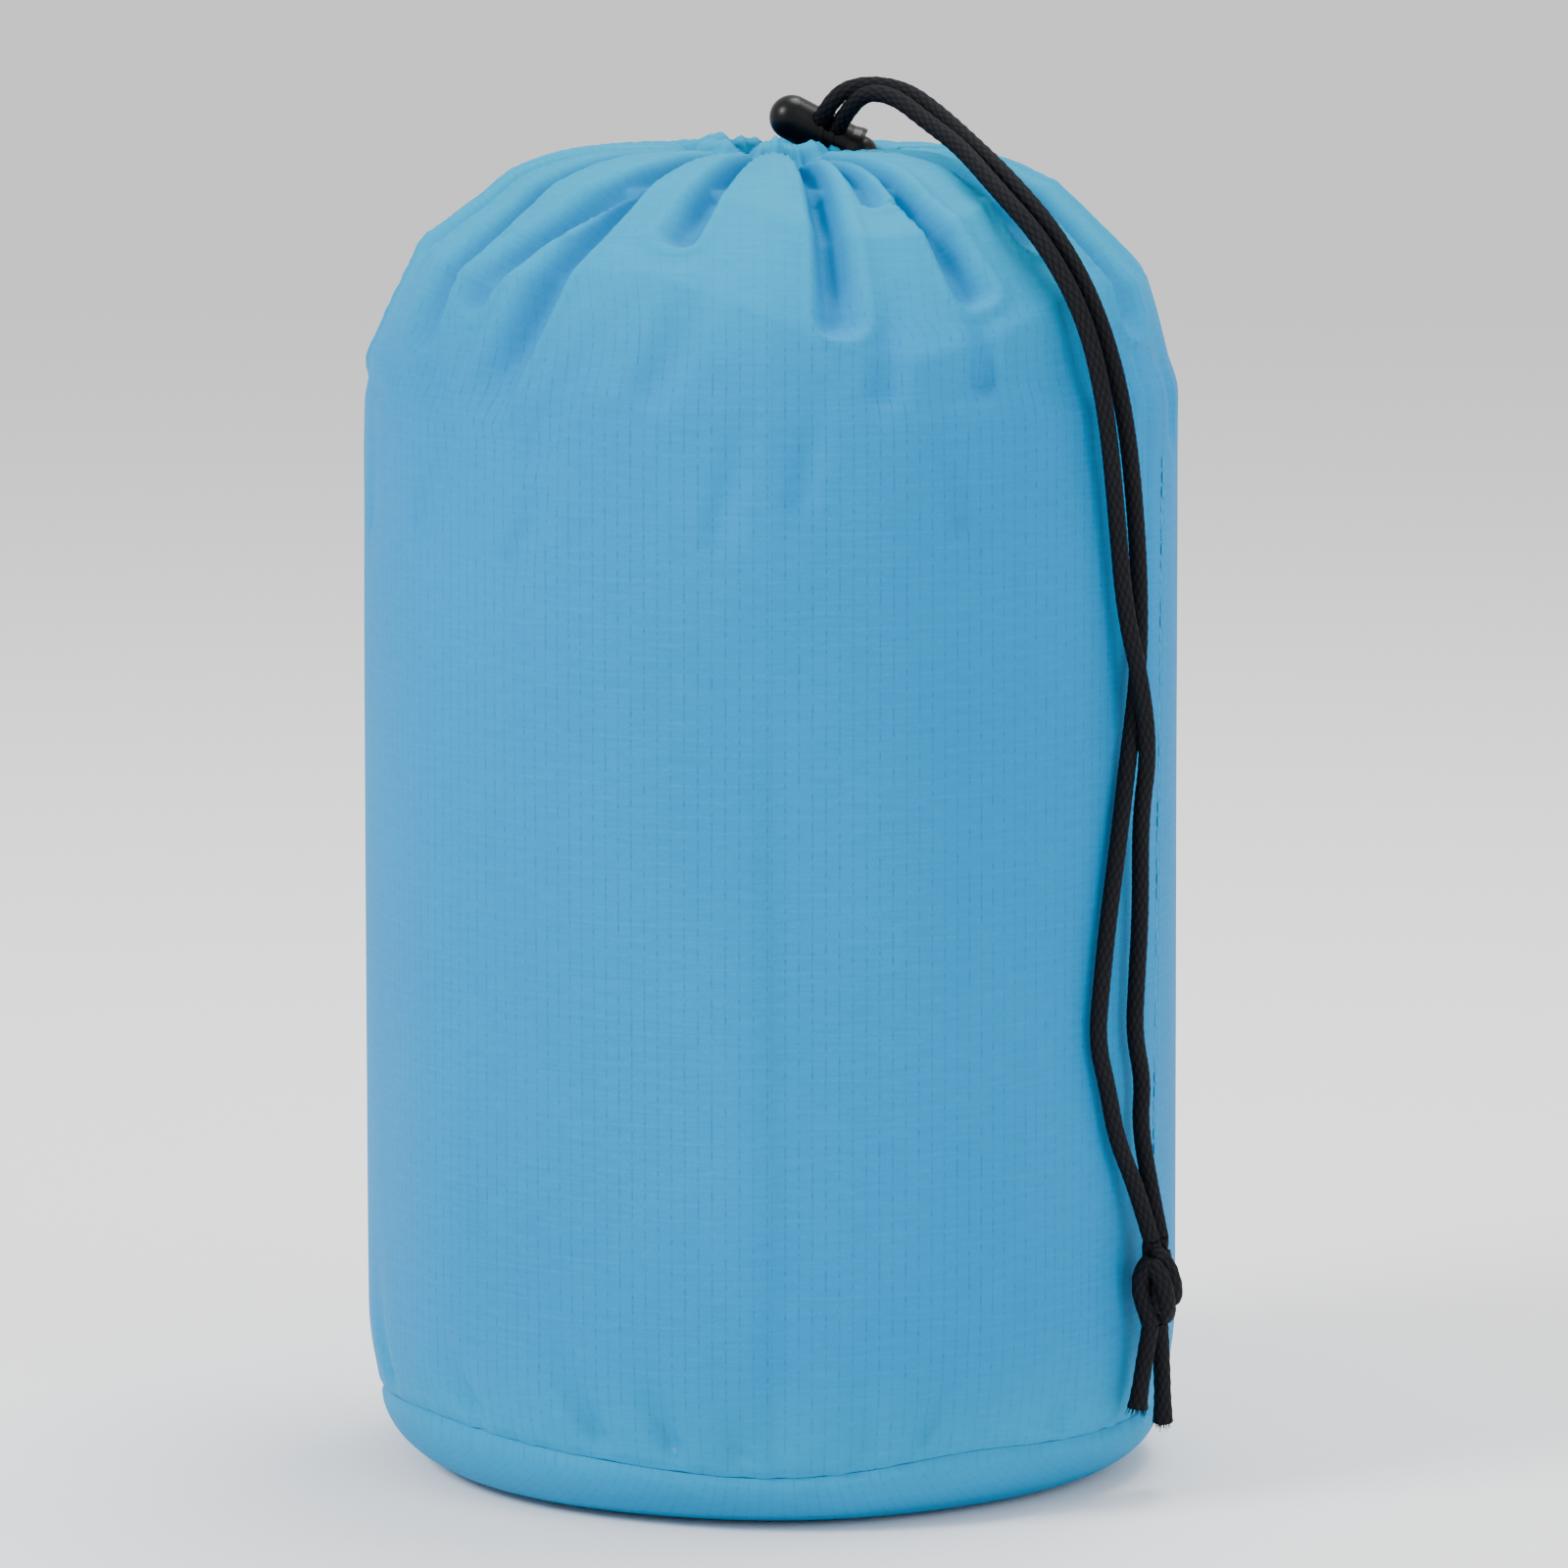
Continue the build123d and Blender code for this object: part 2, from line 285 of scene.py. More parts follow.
def surface(
    name: str,
    grid: Array,
    material: Material,
    closed: bool = True,
    flip: bool = False,
    uv: Array | None = None,
    capped: bool = False,
) -> Object:
    """Makes an object of a grid of points, in millimetres.

    Args:
        name: the object's name.
        grid: rows by columns by 3.
        material: what it is made of.
        closed: whether the last column joins the first.
        flip: whether to turn the faces round.
        uv: rows by columns by 2, or by one more column when closed, in metres.
        capped: whether the first and the last row are closed at their middle points.

    Returns:
        The new object.
    """
    rows, columns = grid.shape[:2]
    quads = grid_faces(rows, columns, closed, flip)
    loop_uv = None
    if uv is not None:
        wide = uv.shape[1]
        loop_uv = uv.reshape(-1, 2)[grid_faces(rows, wide, False, flip).reshape(-1)]
    points = grid.reshape(-1, 3)
    triangles = None
    if capped:
        poles = np.stack([grid[0].mean(0), grid[-1].mean(0)])
        ring = np.arange(columns)
        after = (ring + 1) % columns
        count = rows * columns
        first = np.stack([after, ring, np.full(columns, count)], 1)
        last = np.stack([ring, after, np.full(columns, count + 1)], 1) + [
            (rows - 1) * columns, (rows - 1) * columns, 0]
        triangles = np.concatenate([first, last])
        triangles = triangles[:, ::-1] if flip else triangles
        points = np.concatenate([points, poles])
        if loop_uv is not None:
            loop_uv = np.concatenate([loop_uv, np.zeros((triangles.size, 2))])
    return make_object(name, points * MM, quads, material, loop_uv, triangles)


def spline_path(points: Sequence[Point], name: str = "route") -> Array:
    """The smooth line of a route: the NURBS spline that has the route as its control points.

    Args:
        points: the route, in millimetres.
        name: a name for the short-lived curve.

    Returns:
        Points along the spline, in millimetres.
    """
    curve = bpy.data.curves.new(name, "CURVE")
    curve.dimensions = "3D"
    spline = curve.splines.new("NURBS")
    spline.points.add(len(points) - 1)
    for target, place in zip(spline.points, points):
        target.co = (place[0] * MM, place[1] * MM, place[2] * MM, 1.0)
    spline.order_u = 3
    spline.use_endpoint_u = True
    spline.resolution_u = 24
    holder = bpy.data.objects.new(name, curve)
    bpy.context.scene.collection.objects.link(holder)
    bpy.context.view_layer.update()
    mesh = bpy.data.meshes.new_from_object(holder.evaluated_get(bpy.context.evaluated_depsgraph_get()))
    line = np.zeros(len(mesh.vertices) * 3, np.float32)
    mesh.vertices.foreach_get("co", line)
    bpy.data.meshes.remove(mesh)
    bpy.data.objects.remove(holder)
    bpy.data.curves.remove(curve)
    return line.reshape(-1, 3).astype(float) / MM


def length_of(line: Array) -> float:
    """The length of a line of points."""
    return float(np.linalg.norm(np.diff(line, axis=0), axis=1).sum())


def even(line: Array, step: float) -> Array:
    """The same line with its points an even step apart.

    Args:
        line: points along it.
        step: the distance wanted between points.

    Returns:
        Points from the line's start to its end.
    """
    along = np.concatenate([[0.0], np.cumsum(np.linalg.norm(np.diff(line, axis=0), axis=1))])
    keep = np.concatenate([[True], np.diff(along) > 1e-9])
    count = max(3, int(round(along[-1] / step)) + 1)
    wanted = np.linspace(0.0, along[-1], count)
    return np.stack([np.interp(wanted, along[keep], line[keep, k]) for k in range(3)], axis=1)


def frames_along(line: Array) -> tuple[Array, Array, Array]:
    """A frame at each point of a line that never spins about it.

    The first normal is square to the line and to whichever axis the line leans on least. The frames
    that this gives are then turned back by the sum of their small turns about the line.

    Args:
        line: points, evenly spaced.

    Returns:
        Tangents, normals and binormals.
    """
    tangent = unit(np.gradient(line, axis=0))
    helper = np.eye(3)[np.abs(tangent).max(axis=0).argmin()]
    normal = unit(np.cross(tangent, helper))
    binormal = np.cross(tangent, normal)
    turn = np.arcsin(np.clip((normal[1:] * binormal[:-1]).sum(1), -1, 1))
    angle = -np.concatenate([[0.0], np.cumsum(turn)])[:, None]
    return (
        tangent,
        normal * np.cos(angle) + binormal * np.sin(angle),
        binormal * np.cos(angle) - normal * np.sin(angle),
    )


def clear_of_line(points: Array, line: Array, reach: float) -> Array:
    """Moves the points that are too near a line straight away from it.

    Args:
        points: the points, any number by 3.
        line: points along the line, closer together than the reach.
        reach: the distance to keep.

    Returns:
        The moved points.
    """
    low = line.min(0) - reach
    high = line.max(0) + reach
    near = np.flatnonzero(((points > low) & (points < high)).all(1))
    if not len(near):
        return points
    away = points[near][:, None] - line[None]
    distance = np.linalg.norm(away, axis=2)
    nearest = distance.argmin(1)
    rows = np.arange(len(near))
    gap = distance[rows, nearest]
    push = unit(away[rows, nearest]) * np.maximum(reach - gap, 0)[:, None]
    points[near] += push
    return points


# ---- finishes -----------------------------------------------------------------------------------


@dataclass(frozen=True)
class RipstopNylon:
    """Light ripstop nylon, calendered: a fine plain weave with a square of thicker threads every few
    millimetres. The eye sees thin darker lines up the cloth and faint paler ones across it, on a
    smooth, slightly silky surface. Where one layer stands away from what it holds it is painted a
    brighter turquoise, for light shining through, and the gutters are painted a darker blue shade."""

    name: str = "ripstop_nylon_calendered"
    colour: str = "0081ba"
    # painted light: the brighter turquoise where one layer stands free, as if lit through
    painted_through_light_colour: str = "00a3ce"
    # painted shade: the darker blue down the gutters
    painted_gutter_shade_colour: str = "0083be"
    warp_colour: str = "005c94"
    weft_colour: str = "0890bd"
    warp_pitch: float = 2.4 * MM
    weft_pitch: float = 2.75 * MM
    thread: float = 0.32 * MM
    weave_pitch: float = 0.45 * MM       # drawn about twice as coarse as real, so that it shows
    roughness: float = 0.52

    def material(self) -> Material:
        """Builds the cloth from its UV map, which is in metres of flat cloth."""
        made, tree = start_material(self.name)
        uv = add_node(tree, "ShaderNodeUVMap", {"uv_map": "cloth"}).outputs["UV"]
        split = add_node(tree, "ShaderNodeSeparateXYZ", {}, {0: uv})
        opened = read(tree, "open")
        broken = remap(tree, noise(tree, uv, 900.0, 2.0), (0.4, 0.66))
        strength = calculate(tree, "MULTIPLY", broken, remap(tree, opened, (0.0, 1.0), (0.5, 0.08)))
        warp, weft = (
            calculate(tree, "MULTIPLY", self._lines(tree, split.outputs[axis], pitch), strength)
            for axis, pitch in (("X", self.warp_pitch), ("Y", self.weft_pitch)))
        drawn_out = add_node(tree, "ShaderNodeMapping", {}, {"Vector": uv, "Scale": (1.0, 9.0, 1.0)})
        slub = noise(tree, drawn_out.outputs[0], 160.0, 3.0)
        cloud = remap(tree, noise(tree, uv, 14.0, 4.0), (0.3, 0.7), (0.94, 1.05))
        tone = calculate(tree, "MULTIPLY", cloud, remap(tree, slub, (0.3, 0.7), (0.95, 1.05)))
        # painted light: a brighter turquoise where the cloth stands free, as if lit through
        colour = mix(tree, opened, self.colour, self.painted_through_light_colour)
        # painted shade: a darker blue where the gutters are deep
        colour = mix(tree, read(tree, "deep"), colour, self.painted_gutter_shade_colour)
        colour = mix(tree, 1.0, colour, tone, "MULTIPLY")
        colour = mix(tree, weft, colour, self.weft_colour)
        colour = mix(tree, warp, colour, self.warp_colour)
        cloth = principled(tree, {
            "Base Color": colour, "Roughness": self.roughness, "IOR": 1.5, "Specular IOR Level": 0.05,
            "Normal": raised(tree, self._weave(tree, split, warp, slub), 0.35, 0.12 * MM)})
        through = add_node(tree, "ShaderNodeBsdfTranslucent", {}, {"Color": colour})
        shade_with(tree, add_node(tree, "ShaderNodeMixShader", {}, {
            0: remap(tree, opened, (0.0, 1.0), (0.03, 0.22)), 1: cloth, 2: through.outputs[0]}).outputs[0])
        return made

    def _lines(self, tree: Tree, place: Socket, pitch: float) -> Socket:
        """One set of thicker threads.

        Args:
            tree: the node tree.
            place: metres of cloth across the threads.
            pitch: distance between them.

        Returns:
            A socket that is 1 on a thread and 0 between threads.
        """
        saw = calculate(tree, "PINGPONG", calculate(tree, "DIVIDE", place, pitch), 0.5)
        half = 0.5 * self.thread / pitch
        return remap(tree, saw, (half * 0.4, half * 1.7), (1.0, 0.0), "SMOOTHSTEP")

    def _weave(self, tree: Tree, split: bpy.types.Node, lines: Socket, slub: Socket) -> Socket:
        """The relief of the cloth: a product of two waves, raised along the thicker threads.

        Args:
            tree: the node tree.
            split: the node that holds the two cloth coordinates.
            lines: where the thicker threads are.
            slub: uneven threads.

        Returns:
            A height from 0 to about 2.
        """
        turns = 2 * math.pi / self.weave_pitch
        across, along = (
            calculate(tree, "SINE", calculate(tree, "MULTIPLY", split.outputs[axis], turns))
            for axis in ("X", "Y"))
        weave = calculate(tree, "MULTIPLY", across, along)
        return calculate(tree, "ADD", calculate(tree, "MULTIPLY_ADD", weave, 0.25, slub), lines)


@dataclass(frozen=True)
class BraidedCord:
    """Round cord braided of dull black polyester yarn. The eye sees near-black diamonds, each yarn
    painted lighter along its crown, a painted sheen along its filaments."""

    name: str = "polyester_cord_braided"
    colour: str = "060608"
    # painted sheen on the crown of each yarn
    painted_sheen_colour: str = "2a2b30"
    filament: float = 0.12 * MM          # filaments drawn four times as coarse as real, to show
    roughness: float = 0.62

    def material(self) -> Material:
        """Builds the cord's yarn from its UV map, in metres along and around the cord."""
        made, tree = start_material(self.name)
        uv = add_node(tree, "ShaderNodeUVMap", {"uv_map": "cloth"}).outputs["UV"]
        yarn = noise(tree, uv, 1.0 / self.filament, 2.0, 0.6)
        # painted sheen: the yarn is lighter where it stands highest on the braid
        share = calculate(tree, "MULTIPLY", read(tree, "crown"), yarn)
        shade_with(tree, principled(tree, {
            "Base Color": mix(tree, share, self.colour, self.painted_sheen_colour), "Roughness": self.roughness,
            "IOR": 1.5, "Specular IOR Level": 0.06, "Normal": raised(tree, yarn, 0.5, 0.1 * MM)}))
        return made


@dataclass(frozen=True)
class PlainFinish:
    """A moulded, drawn or cast finish: one colour that drifts a little, a fine grain and handling
    marks that only change the gloss."""

    name: str
    colour: str
    worn_colour: str
    roughness: float
    grain: float                         # size of the grain
    relief: float = 0.02 * MM
    metallic: float = 0.0
    level: float = 0.5

    def material(self) -> Material:
        """Builds the finish from object coordinates."""
        made, tree = start_material(self.name)
        place = add_node(tree, "ShaderNodeTexCoord").outputs["Object"]
        drift = noise(tree, place, 90.0, 4.0)
        gloss = remap(tree, drift, (0.3, 0.7), (self.roughness - 0.05, self.roughness + 0.08))
        shade_with(tree, principled(tree, {
            "Base Color": mix(tree, remap(tree, drift, (0.4, 0.75)), self.colour, self.worn_colour),
            "Roughness": gloss, "Metallic": self.metallic, "Specular IOR Level": self.level,
            "Normal": raised(tree, noise(tree, place, 1.0 / self.grain, 3.0), 0.5, self.relief)}))
        return made


@dataclass(frozen=True)
class WovenTape:
    """Narrow woven or bound tape: crosswise ribs on a plain colour."""

    name: str
    colour: str
    rib_colour: str
    rib: float = 0.6 * MM

    def material(self) -> Material:
        """Builds the tape from object coordinates, with its ribs across the height."""
        made, tree = start_material(self.name)
        place = add_node(tree, "ShaderNodeTexCoord").outputs["Object"]
        ribs = add_node(tree, "ShaderNodeTexWave", {"bands_direction": "Z"}, {
            "Vector": place, "Scale": 0.314 / self.rib, "Distortion": 0.6, "Detail": 2.0}).outputs["Fac"]
        shade_with(tree, principled(tree, {
            "Base Color": mix(tree, ribs, self.colour, self.rib_colour), "Roughness": 0.7,
            "Sheen Weight": 0.2, "Normal": raised(tree, ribs, 0.4, 0.2 * MM)}))
        return made


class FinishBook:
    """Every finish of the object, made once."""

    def __init__(self) -> None:
        """Builds the materials."""
        self.cloth = RipstopNylon().material()
        self.cord = BraidedCord().material()
        self.bivy = PlainFinish("coated_nylon_rolled", "2f8fbe", "3fa3cf", 0.6, 0.5 * MM).material()
        self.plastic = PlainFinish(
            "acetal_moulded_satin", "050507", "0c0d10", 0.32, 0.25 * MM, level=0.2).material()
        self.spring = PlainFinish(
            "spring_steel_drawn", "b9b9b6", "a9a9a6", 0.3, 0.05 * MM, metallic=1.0).material()
        self.thread = PlainFinish(
            "polyester_thread_spun", "1490bf", "2499c6", 0.6, 0.2 * MM).material()
        self.zip_metal = PlainFinish(
            "zinc_slider_painted", "1b1c1f", "2a2b2f", 0.4, 0.2 * MM).material()
        self.tape = WovenTape("nylon_seam_binding", "2f8fbe", "2a83b0").material()
        self.zip_tape = WovenTape("polyester_zip_tape", "17181a", "222326").material()


# ---- studio -------------------------------------------------------------------------------------


@dataclass(frozen=True)
class Lamp:
    """A square soft light: where it stands, how large it is, and its power in watts."""

    name: str
    place: Point
    size: float
    power: float


@dataclass
class Studio:
    """Pale floor, soft light from above and both sides, and a long lens in front."""

    distance: float = 1.440
    elevation: float = 7.5               # degrees
    aim_height: float = 0.1247
    aim_right: float = 0.0022
    lens: float = 180.0                  # millimetres, on a sensor 36 millimetres wide
    floor_size: float = 6.0
    floor_colour: str = "f7f7f7"
    surround: float = 0.95
    lamps: Sequence[Lamp] = (
        Lamp("key_left", (-1.4, -0.8, 1.3), 0.6, 36.0), Lamp("fill_right", (1.2, -1.2, 0.8), 1.0, 12.0),
        Lamp("top", (0.3, 0.3, 1.5), 0.7, 18.0),
    )

    def build(self) -> None:
        """Makes the floor, the lights and the camera."""
        self._floor()
        for lamp in self.lamps:
            self._light(lamp)
        self._sky()
        self._camera()

    def _floor(self) -> None:
        """A large plain sheet under the object."""
        half = self.floor_size / 2
        corners = np.array([[-half, -half, 0], [half, -half, 0], [half, half, 0], [-half, half, 0]])
        finish = bpy.data.materials.new("floor_matt_white")
        finish.use_nodes = True
        shader = finish.node_tree.nodes["Principled BSDF"]
        shader.inputs["Base Color"].default_value = linear(self.floor_colour)
        shader.inputs["Roughness"].default_value = 0.9
        floor = make_object("floor", corners, np.array([[0, 1, 2, 3]]), finish)

    def _light(self, lamp: Lamp) -> None:
        """Aims a lamp at the middle of the object."""
        light = bpy.data.lights.new(lamp.name, "AREA")
        light.size = lamp.size
        light.energy = lamp.power
        self._stand(lamp.name, light, Vector(lamp.place), Vector((0, 0, self.aim_height)))

    def _stand(self, name: str, data: bpy.types.ID, place: Vector, aim: Vector) -> Object:
        """Puts a light or a camera at a place, turned to what it's aimed at."""
        holder = bpy.data.objects.new(name, data)
        bpy.context.scene.collection.objects.link(holder)
        holder.location = place
        holder.rotation_euler = (aim - place).to_track_quat("-Z", "Y").to_euler()
        return holder

    def _sky(self) -> None:
        """An even white surround."""
        world = bpy.data.worlds.new("surround")
        world.use_nodes = True
        background = world.node_tree.nodes["Background"]
        background.inputs["Color"].default_value = (1.0, 1.0, 1.0, 1.0)
        background.inputs["Strength"].default_value = self.surround
        bpy.context.scene.world = world

    def _camera(self) -> None:
        """The camera in front, a little above the middle of the object."""
        rise = math.radians(self.elevation)
        aim = Vector((self.aim_right, 0, self.aim_height))
        place = aim + self.distance * Vector((0, -math.cos(rise), math.sin(rise)))
        lens = bpy.data.cameras.new("camera")
        lens.lens = self.lens
        lens.sensor_width = 36.0
        lens.clip_start = 0.05
        bpy.context.scene.camera = self._stand("camera", lens, place, aim)


# ---- drawcord -----------------------------------------------------------------------------------


@dataclass
class Braid:
    """A tubular braid: two sets of yarns wound opposite ways, each passing over and under."""

    radius: float = 1.6
    relief: float = 0.16
    yarns: int = 8                       # in each direction
    cell: float = 1.35                   # length of one crossing along the cord
    sides: int = 40
    step: float = 0.25

    def height(self, around: Array, along: Array) -> Array:
        """How far the yarn on top stands out, from 0 in a gap to 1 on a crown.

        x and y count the yarns of the two sets. Where the sum of their whole parts is even the
        first set is on top. The top yarn is a cosine across its width, and dips at both ends of
        the cell, where it goes under.

        Args:
            around: turns about the cord, 0 to 1.
            along: millimetres along the cord.

        Returns:
            The height at each place.
        """
        x = self.yarns * around + along / (2 * self.cell)
        y = self.yarns * around - along / (2 * self.cell)
        first_on_top = (np.floor(x) + np.floor(y)) % 2 == 0
        across = np.where(first_on_top, y, x) % 1 - 0.5
        onward = np.where(first_on_top, x, y) % 1 - 0.5
        crown = np.cos(np.pi * across) ** 0.7
        return crown * (0.45 + 0.55 * np.cos(np.pi * onward))

    def tube(
        self, name: str, line: Array, material: Material, width: Array | None = None,
    ) -> tuple[Object, Array]:
        """Makes a braided cord along a line.

        The surface is the line plus the radius along the turning frame: centre + (cos a * normal
        + sin a * binormal) * (radius * width + relief * (height - 1)).

        Args:
            name: the object's name.
            line: points along the cord's middle, in millimetres.
            material: the yarn.
            width: the cord's width at evenly spaced places, as a share of its usual one.

        Returns:
            The cord, and the ring centres that it follows, in metres.
        """
        centre = even(line, self.step)
        _, normal, binormal = frames_along(centre)
        rings = len(centre)
        along = np.linspace(0, length_of(centre), rings)[:, None]
        around = (np.arange(self.sides) / self.sides)[None, :]
        share = np.ones(rings) if width is None else np.interp(
            np.linspace(0, 1, rings), np.linspace(0, 1, len(width)), width)
        crown = self.height(around, along)
        radius = self.radius * share[:, None] + self.relief * (crown - 1)
        angle = 2 * np.pi * around[..., None]
        grid = centre[:, None] + radius[..., None] * (
            normal[:, None] * np.cos(angle) + binormal[:, None] * np.sin(angle))
        turns = np.linspace(0, 2 * np.pi * self.radius, self.sides + 1)[None, :] * np.ones((rings, 1))
        uv = np.stack([turns, along * np.ones_like(turns)], axis=-1) * MM
        cord = surface(name, grid, material, flip=False, uv=uv, capped=True)
        # the yarn height, also the mask of the cord's painted sheen
        paint(cord, "crown", np.concatenate([crown.reshape(-1), [0.0, 0.0]]))
        return cord, centre * MM


def paint(piece: Object, name: str, values: Array) -> None:
    """Stores a value at each point of a piece, for its material."""
    attribute = piece.data.attributes.new(name, "FLOAT", "POINT")
    attribute.data.foreach_set("value", np.asarray(values, np.float32))


@dataclass
class Drawcord:
    """One braided cord: a loop round the mouth, both ends through the lock and down the front, tied
    together in an overhand knot and left with short frayed ends."""

    diameter: float = 3.2
    tail_front_route: Sequence[Point] = (
        (12.38, -2.83, 245.81), (14.0, -7.0, 248.9), (17.2, -10.9, 252.0), (22.3, -14.9, 251.2),
        (27.8, -20.6, 247.0), (33.6, -29.5, 243.0), (39.6, -40.8, 236.4), (48.2, -47.6, 226.9),
        (55.3, -51.4, 213.7), (59.0, -51.6, 197.5), (61.0, -48.3, 178.5), (62.6, -46.2, 161.5),
        (65.6, -45.4, 149.0), (67.2, -43.2, 136.0), (65.8, -40.9, 124.0), (66.0, -40.1, 107.0),
        (65.3, -40.8, 94.0), (64.9, -41.4, 85.0), (66.7, -38.5, 76.0), (66.1, -39.4, 68.5),
        (67.9, -37.6, 57.5), (69.96, -37.58, 47.4),
    )
    tail_back_route: Sequence[Point] = (
        (9.37, -2.83, 247.39), (10.45, -5.59, 249.44), (13.2, -7.0, 252.3), (18.4, -8.0, 253.3),
        (24.6, -11.4, 252.1), (29.9, -17.3, 248.4), (35.2, -25.6, 243.9), (42.2, -36.8, 237.6),
        (51.0, -44.2, 227.5), (57.8, -48.3, 214.3), (62.3, -47.6, 198.0), (64.6, -43.3, 179.0),
        (65.6, -40.3, 161.0), (65.2, -40.4, 148.5), (63.6, -42.9, 136.0), (61.9, -45.3, 121.5),
        (59.8, -48.1, 106.0), (58.6, -49.5, 94.0), (57.9, -50.3, 85.0), (60.1, -47.8, 75.5),
        (61.7, -46.1, 66.5), (65.5, -41.9, 57.0), (68.24, -40.62, 47.4),
    )
    end_left_route: Sequence[Point] = ((68.24, -40.62, 31.8), (66.9, -41.0, 24.0), (65.9, -41.3, 16.6))
    end_right_route: Sequence[Point] = ((69.96, -37.58, 31.8), (70.7, -35.4, 22.5), (70.9, -33.2, 12.6))
    neck_back_route: Sequence[Point] = (
        (9.37, -2.83, 247.39), (6.37, 4.83, 241.71), (4.6, 9.4, 237.4), (0.6, 12.4, 232.6))
    neck_front_route: Sequence[Point] = (
        (12.38, -2.83, 245.81), (9.38, 4.83, 240.12), (9.5, 8.3, 236.2), (12.3, 5.0, 232.2))
    ring_radius: float = 12.5
    ring_height: float = 232.0
    ring_start: float = 118.0            # degrees counter-clockwise from +X
    ring_step: float = 31.5
    ring_points: int = 8
    knot_centre: Point = (69.1, -39.1, 39.6)
    knot_turn: float = 60.5              # degrees, the knot's broad side lies along the wall
    knot_route: Sequence[Point] = (      # right along the wall, out from it, up
        (0.0, 0.0, 7.8), (0.9, -0.6, 4.6), (1.9, -1.1, 0.8), (2.5, -0.9, -3.4), (2.2, 1.0, -5.2),
        (0.9, 2.6, -4.0), (-0.6, 3.1, -0.6), (-1.7, 2.3, 2.8), (-2.1, 0.6, 4.4), (-1.9, -1.2, 1.6),
        (-1.2, -1.5, -1.8), (-0.7, -0.6, -4.9), (0.0, 0.0, -7.8),
    )
    knot_core: Sequence[Point] = ((0.7, 0.3, 5.4), (0.4, 1.0, 1.6), (-0.4, 1.1, -1.6), (-0.5, 0.4, -5.4))
    knot_strand: float = 1.72            # radius of the strands where they are pulled tight
    knot_heart: float = 2.2              # radius of the pair where it is tucked through
    pair_half: float = 1.6
    filaments: int = 34
    bend_start: Point = (12.4, -2.8, 245.8)
    bend_end: Point = (40.0, -41.0, 236.0)
    neck_start: Point = (0.0065, 0.0065, 0.2385)      # metres
    neck_end: Point = (0.0109, -0.0028, 0.2466)
    braid: Braid = field(default_factory=Braid)

    def loop_route(self) -> list[Point]:
        """The loop's route: down one neck, round the channel and up the other neck."""
        turns = [math.radians(self.ring_start + self.ring_step * k) for k in range(self.ring_points)]
        ring = [(self.ring_radius * math.cos(a), self.ring_radius * math.sin(a), self.ring_height)
                for a in turns]
        return [*self.neck_back_route, *ring, *reversed(self.neck_front_route)]

    def lines(self) -> list[Array]:
        """The middle lines of both tails and of the loop, in millimetres, for what must clear them."""
        routes = (self.tail_front_route, self.tail_back_route, self.loop_route())
        return [even(spline_path(route), 1.0) for route in routes]

    def build(self, finishes: FinishBook) -> None:
        """Makes the two tails, the knot, the frayed ends and the loop."""
        knot = self._knot(finishes)
        ends = [
            self._frayed_end("cord_tip_left", self.end_left_route, "cord_end_left", 7, finishes),
            self._frayed_end("cord_tip_right", self.end_right_route, "cord_end_right", 8, finishes),
        ]
        for name, route, node in (
            ("drawcord_tail_front", self.tail_front_route, "tail_front"),
            ("drawcord_tail_back", self.tail_back_route, "tail_back"),
        ):
            tail, path = self.braid.tube(name, spline_path(route), finishes.cord)
            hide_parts(node)
            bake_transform(tail)
            LOG.info("%s: %.0f mm", name, length_of(path) / MM)
        loop, _ = self.braid.tube("drawcord_neck_and_loop", spline_path(self.loop_route()), finishes.cord)
        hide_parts("drawcord_loop")
        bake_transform(loop)

    def _knot(self, finishes: FinishBook) -> Object:
        """An overhand knot tied in both strands together.

        The pair goes down behind, comes round the lower right, crosses the front up to the left,
        goes round behind again and leaves at the bottom. Each strand runs beside that line, half a
        pair's width to either side, and a short thick piece fills the middle, where the pair is
        tucked through itself.
        """
        turn = math.radians(self.knot_turn)
        side = np.array([math.cos(turn), math.sin(turn), 0.0])
        out = np.array([math.sin(turn), -math.cos(turn), 0.0])
        axes = np.stack([side, out, (0.0, 0.0, 1.0)])
        line, heart = (spline_path([tuple(p) for p in np.array(route) @ axes + self.knot_centre])
                       for route in (self.knot_route, self.knot_core))
        line = even(line, 0.3)
        inner = smooth(np.linspace(0, 8, len(line))) * smooth(np.linspace(8, 0, len(line)))
        across = unit(np.cross(unit(np.gradient(line, axis=0)), out))
        across = across * np.where(across @ side < 0, -1.0, 1.0)[:, None]
        across = across * (0.25 + 0.75 * inner)[:, None] + 0.75 * (1 - inner)[:, None] * side
        strands = [
            Braid(radius=self.knot_strand).tube(
                f"knot_strand_{way}", line + way * self.pair_half * unit(across), finishes.cord)[0]
            for way in (-1, 1)]
        strands.append(Braid(radius=self.knot_heart).tube("knot_core", heart, finishes.cord)[0])
        return self._joined("drawcord_overhand_knot", strands, "drawcord_knot")

    def _joined(self, name: str, pieces: list[Object], node: str) -> Object:
        """Makes one piece of several, in place of a node of the frame.

        Args:
            name: the new piece's name.
            pieces: what to join.
            node: the node that it stands for.

        Returns:
            The joined piece.
        """
        with bpy.context.temp_override(active_object=pieces[0], selected_editable_objects=pieces):
            bpy.ops.object.join()
        whole = pieces[0]
        whole.name = name
        whole.data.name = name
        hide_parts(node)
        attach(whole, Body.SACK.value)
        return whole

